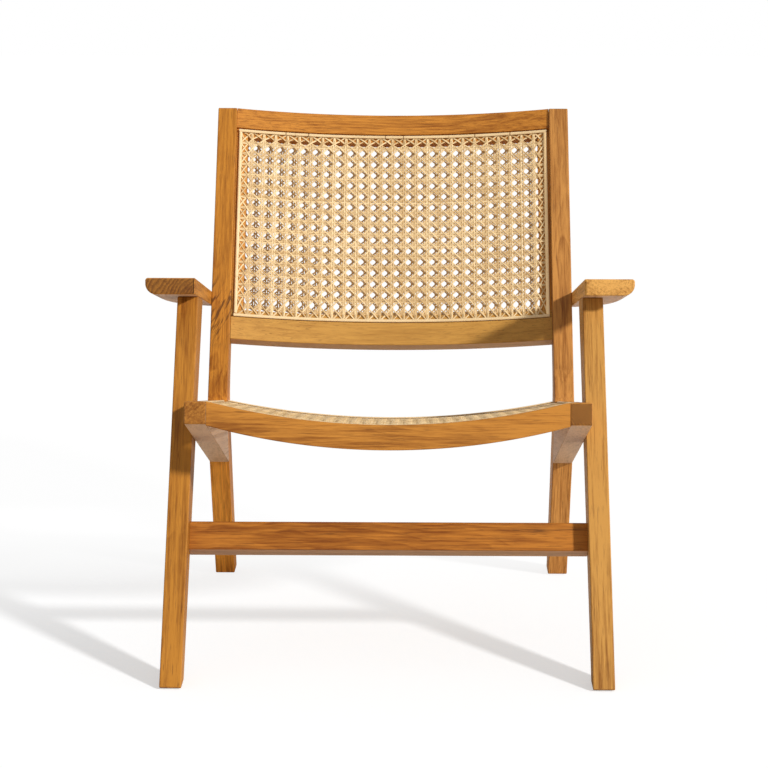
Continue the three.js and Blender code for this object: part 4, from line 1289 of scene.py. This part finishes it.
# Stage
class CHAIR_OT_stage(bpy.types.Operator):
    """Sets the floor, the lamp, the world and the camera"""

    bl_idname = "chair.stage"
    bl_label = "Stage"

    def execute(self, context):
        settings, scene = context.scene.chair_stage, context.scene
        scene.view_settings.view_transform = "Standard"
        mesh = bpy.data.meshes.new("floor")
        corners = [(x * FLOOR_REACH, y * FLOOR_REACH, 0) for x, y in ((-1, -1), (1, -1), (1, 1), (-1, 1))]
        mesh.from_pydata(corners, [], [(0, 1, 2, 3)])
        mesh.materials.append(floor_finish())
        floor = bpy.data.objects.new("floor", mesh)
        scene.collection.objects.link(floor)
        world_light(scene, settings.fill)
        lamp = bpy.data.lights.new("key", "SUN")
        lamp.angle = np.radians(KEY_SPREAD)
        lamp.energy = settings.key
        aimed("key", lamp, KEY_DIRECTION)
        camera = bpy.data.cameras.new("camera")
        camera.sensor_width = SENSOR_WIDTH
        camera.lens = settings.lens
        pitch, yaw, roll = np.radians([CAMERA_PITCH, CAMERA_YAW, CAMERA_ROLL])
        forward = (np.sin(yaw) * np.cos(pitch), np.cos(yaw) * np.cos(pitch), -np.sin(pitch))
        scene.camera = aimed("camera", camera, forward, settings.camera, roll)
        return {"FINISHED"}


def aimed(name, data, direction, place=(0, 0, 0), roll=0.0):
    """A lamp or camera that looks along a direction. Its side lies level, but for the roll."""
    back = -np.array(direction, float) / np.linalg.norm(direction)
    side = np.cross([0, 0, 1], back)
    side /= np.linalg.norm(side)
    over = np.cross(back, side)
    cos, sin = np.cos(roll), np.sin(roll)
    axes = np.stack([cos * side + sin * over, cos * over - sin * side, back], axis=1)
    piece = bpy.data.objects.new(name, data)
    piece.matrix_world = Matrix([(*row, along) for row, along in zip(axes, place)] + [(0, 0, 0, 1)])
    bpy.context.scene.collection.objects.link(piece)
    return piece


def floor_finish():
    """A floor that keeps the chair's shadow and shows white elsewhere, and the shadow fades towards the back.

    The camera sees a shade and a glow that make white together in full light. Other rays see a pale floor.
    """
    material, principled, place = shader("pale floor")
    seen = Wire(place.tree.nodes.new("ShaderNodeLightPath").outputs["Is Camera Ray"])
    back = parts(place)[1]
    shade = mixed(seen, FLOOR_UNSEEN, mixed(between(back, *FLOOR_FADE), FLOOR_NEAR, FLOOR_FAR))
    glow = seen * between(back, *FLOOR_FADE, *FLOOR_GLOW)
    feed(principled, {"Base Color": shade, "Emission Color": WHITE, "Emission Strength": glow})
    feed(principled, {"Roughness": 1.0, "Specular IOR Level": 0.0})
    return material


def world_light(scene, strength):
    """Even light from all round. The camera, glossy and transmission rays see it white."""
    world = bpy.data.worlds.new("soft room")
    world.use_nodes = True
    scene.world = world
    path = world.node_tree.nodes.new("ShaderNodeLightPath").outputs
    camera, glossy, clear = (Wire(path[f"Is {kind} Ray"]) for kind in ("Camera", "Glossy", "Transmission"))
    seen = camera.maths("MAXIMUM", glossy).maths("MAXIMUM", clear)
    level = seen * (1 - strength) + strength
    feed(world.node_tree.nodes["Background"], {"Strength": level, "Color": WHITE})


class CHAIR_PT_panel(bpy.types.Panel):
    """Lists the chair's pieces and settings"""

    bl_idname = "CHAIR_PT_panel"
    bl_label = "Caned lounge chair"
    bl_space_type = "VIEW_3D"
    bl_region_type = "UI"
    bl_category = "Chair"

    def draw(self, context):
        for operator in OPERATORS:
            self.layout.operator(operator.bl_idname)
        for name, group in SETTINGS.items():
            box = self.layout.box()
            for key in group.__annotations__:
                box.prop(getattr(context.scene, name), key)


SETTINGS = {"chair_timber": TimberSettings, "chair_cane": CaneSettings, "chair_stage": StageSettings}
OPERATORS = (
    CHAIR_OT_front_legs,
    CHAIR_OT_rear_legs,
    CHAIR_OT_side_rails,
    CHAIR_OT_seat_rails,
    CHAIR_OT_back_rails,
    CHAIR_OT_stretcher,
    CHAIR_OT_armrests,
    CHAIR_OT_back_cane,
    CHAIR_OT_seat_cane,
    CHAIR_OT_splines,
    CHAIR_OT_fixings,
    CHAIR_OT_stage,
)
CLASSES = (*SETTINGS.values(), *OPERATORS, CHAIR_PT_panel)


def register():
    """Registers the classes and hangs the settings on the scene."""
    for item in CLASSES:
        bpy.utils.register_class(item)
    for name, group in SETTINGS.items():
        setattr(bpy.types.Scene, name, PointerProperty(type=group))


def unregister():
    """Takes the settings and the classes away again."""
    for name in SETTINGS:
        delattr(bpy.types.Scene, name)
    for item in reversed(CLASSES):
        bpy.utils.unregister_class(item)


def main():
    """Makes every piece in order."""
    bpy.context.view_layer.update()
    register()
    for operator in OPERATORS:
        getattr(bpy.ops.chair, operator.bl_idname.split(".")[1])()
    bpy.context.view_layer.update()


if __name__ == "__main__":
    main()
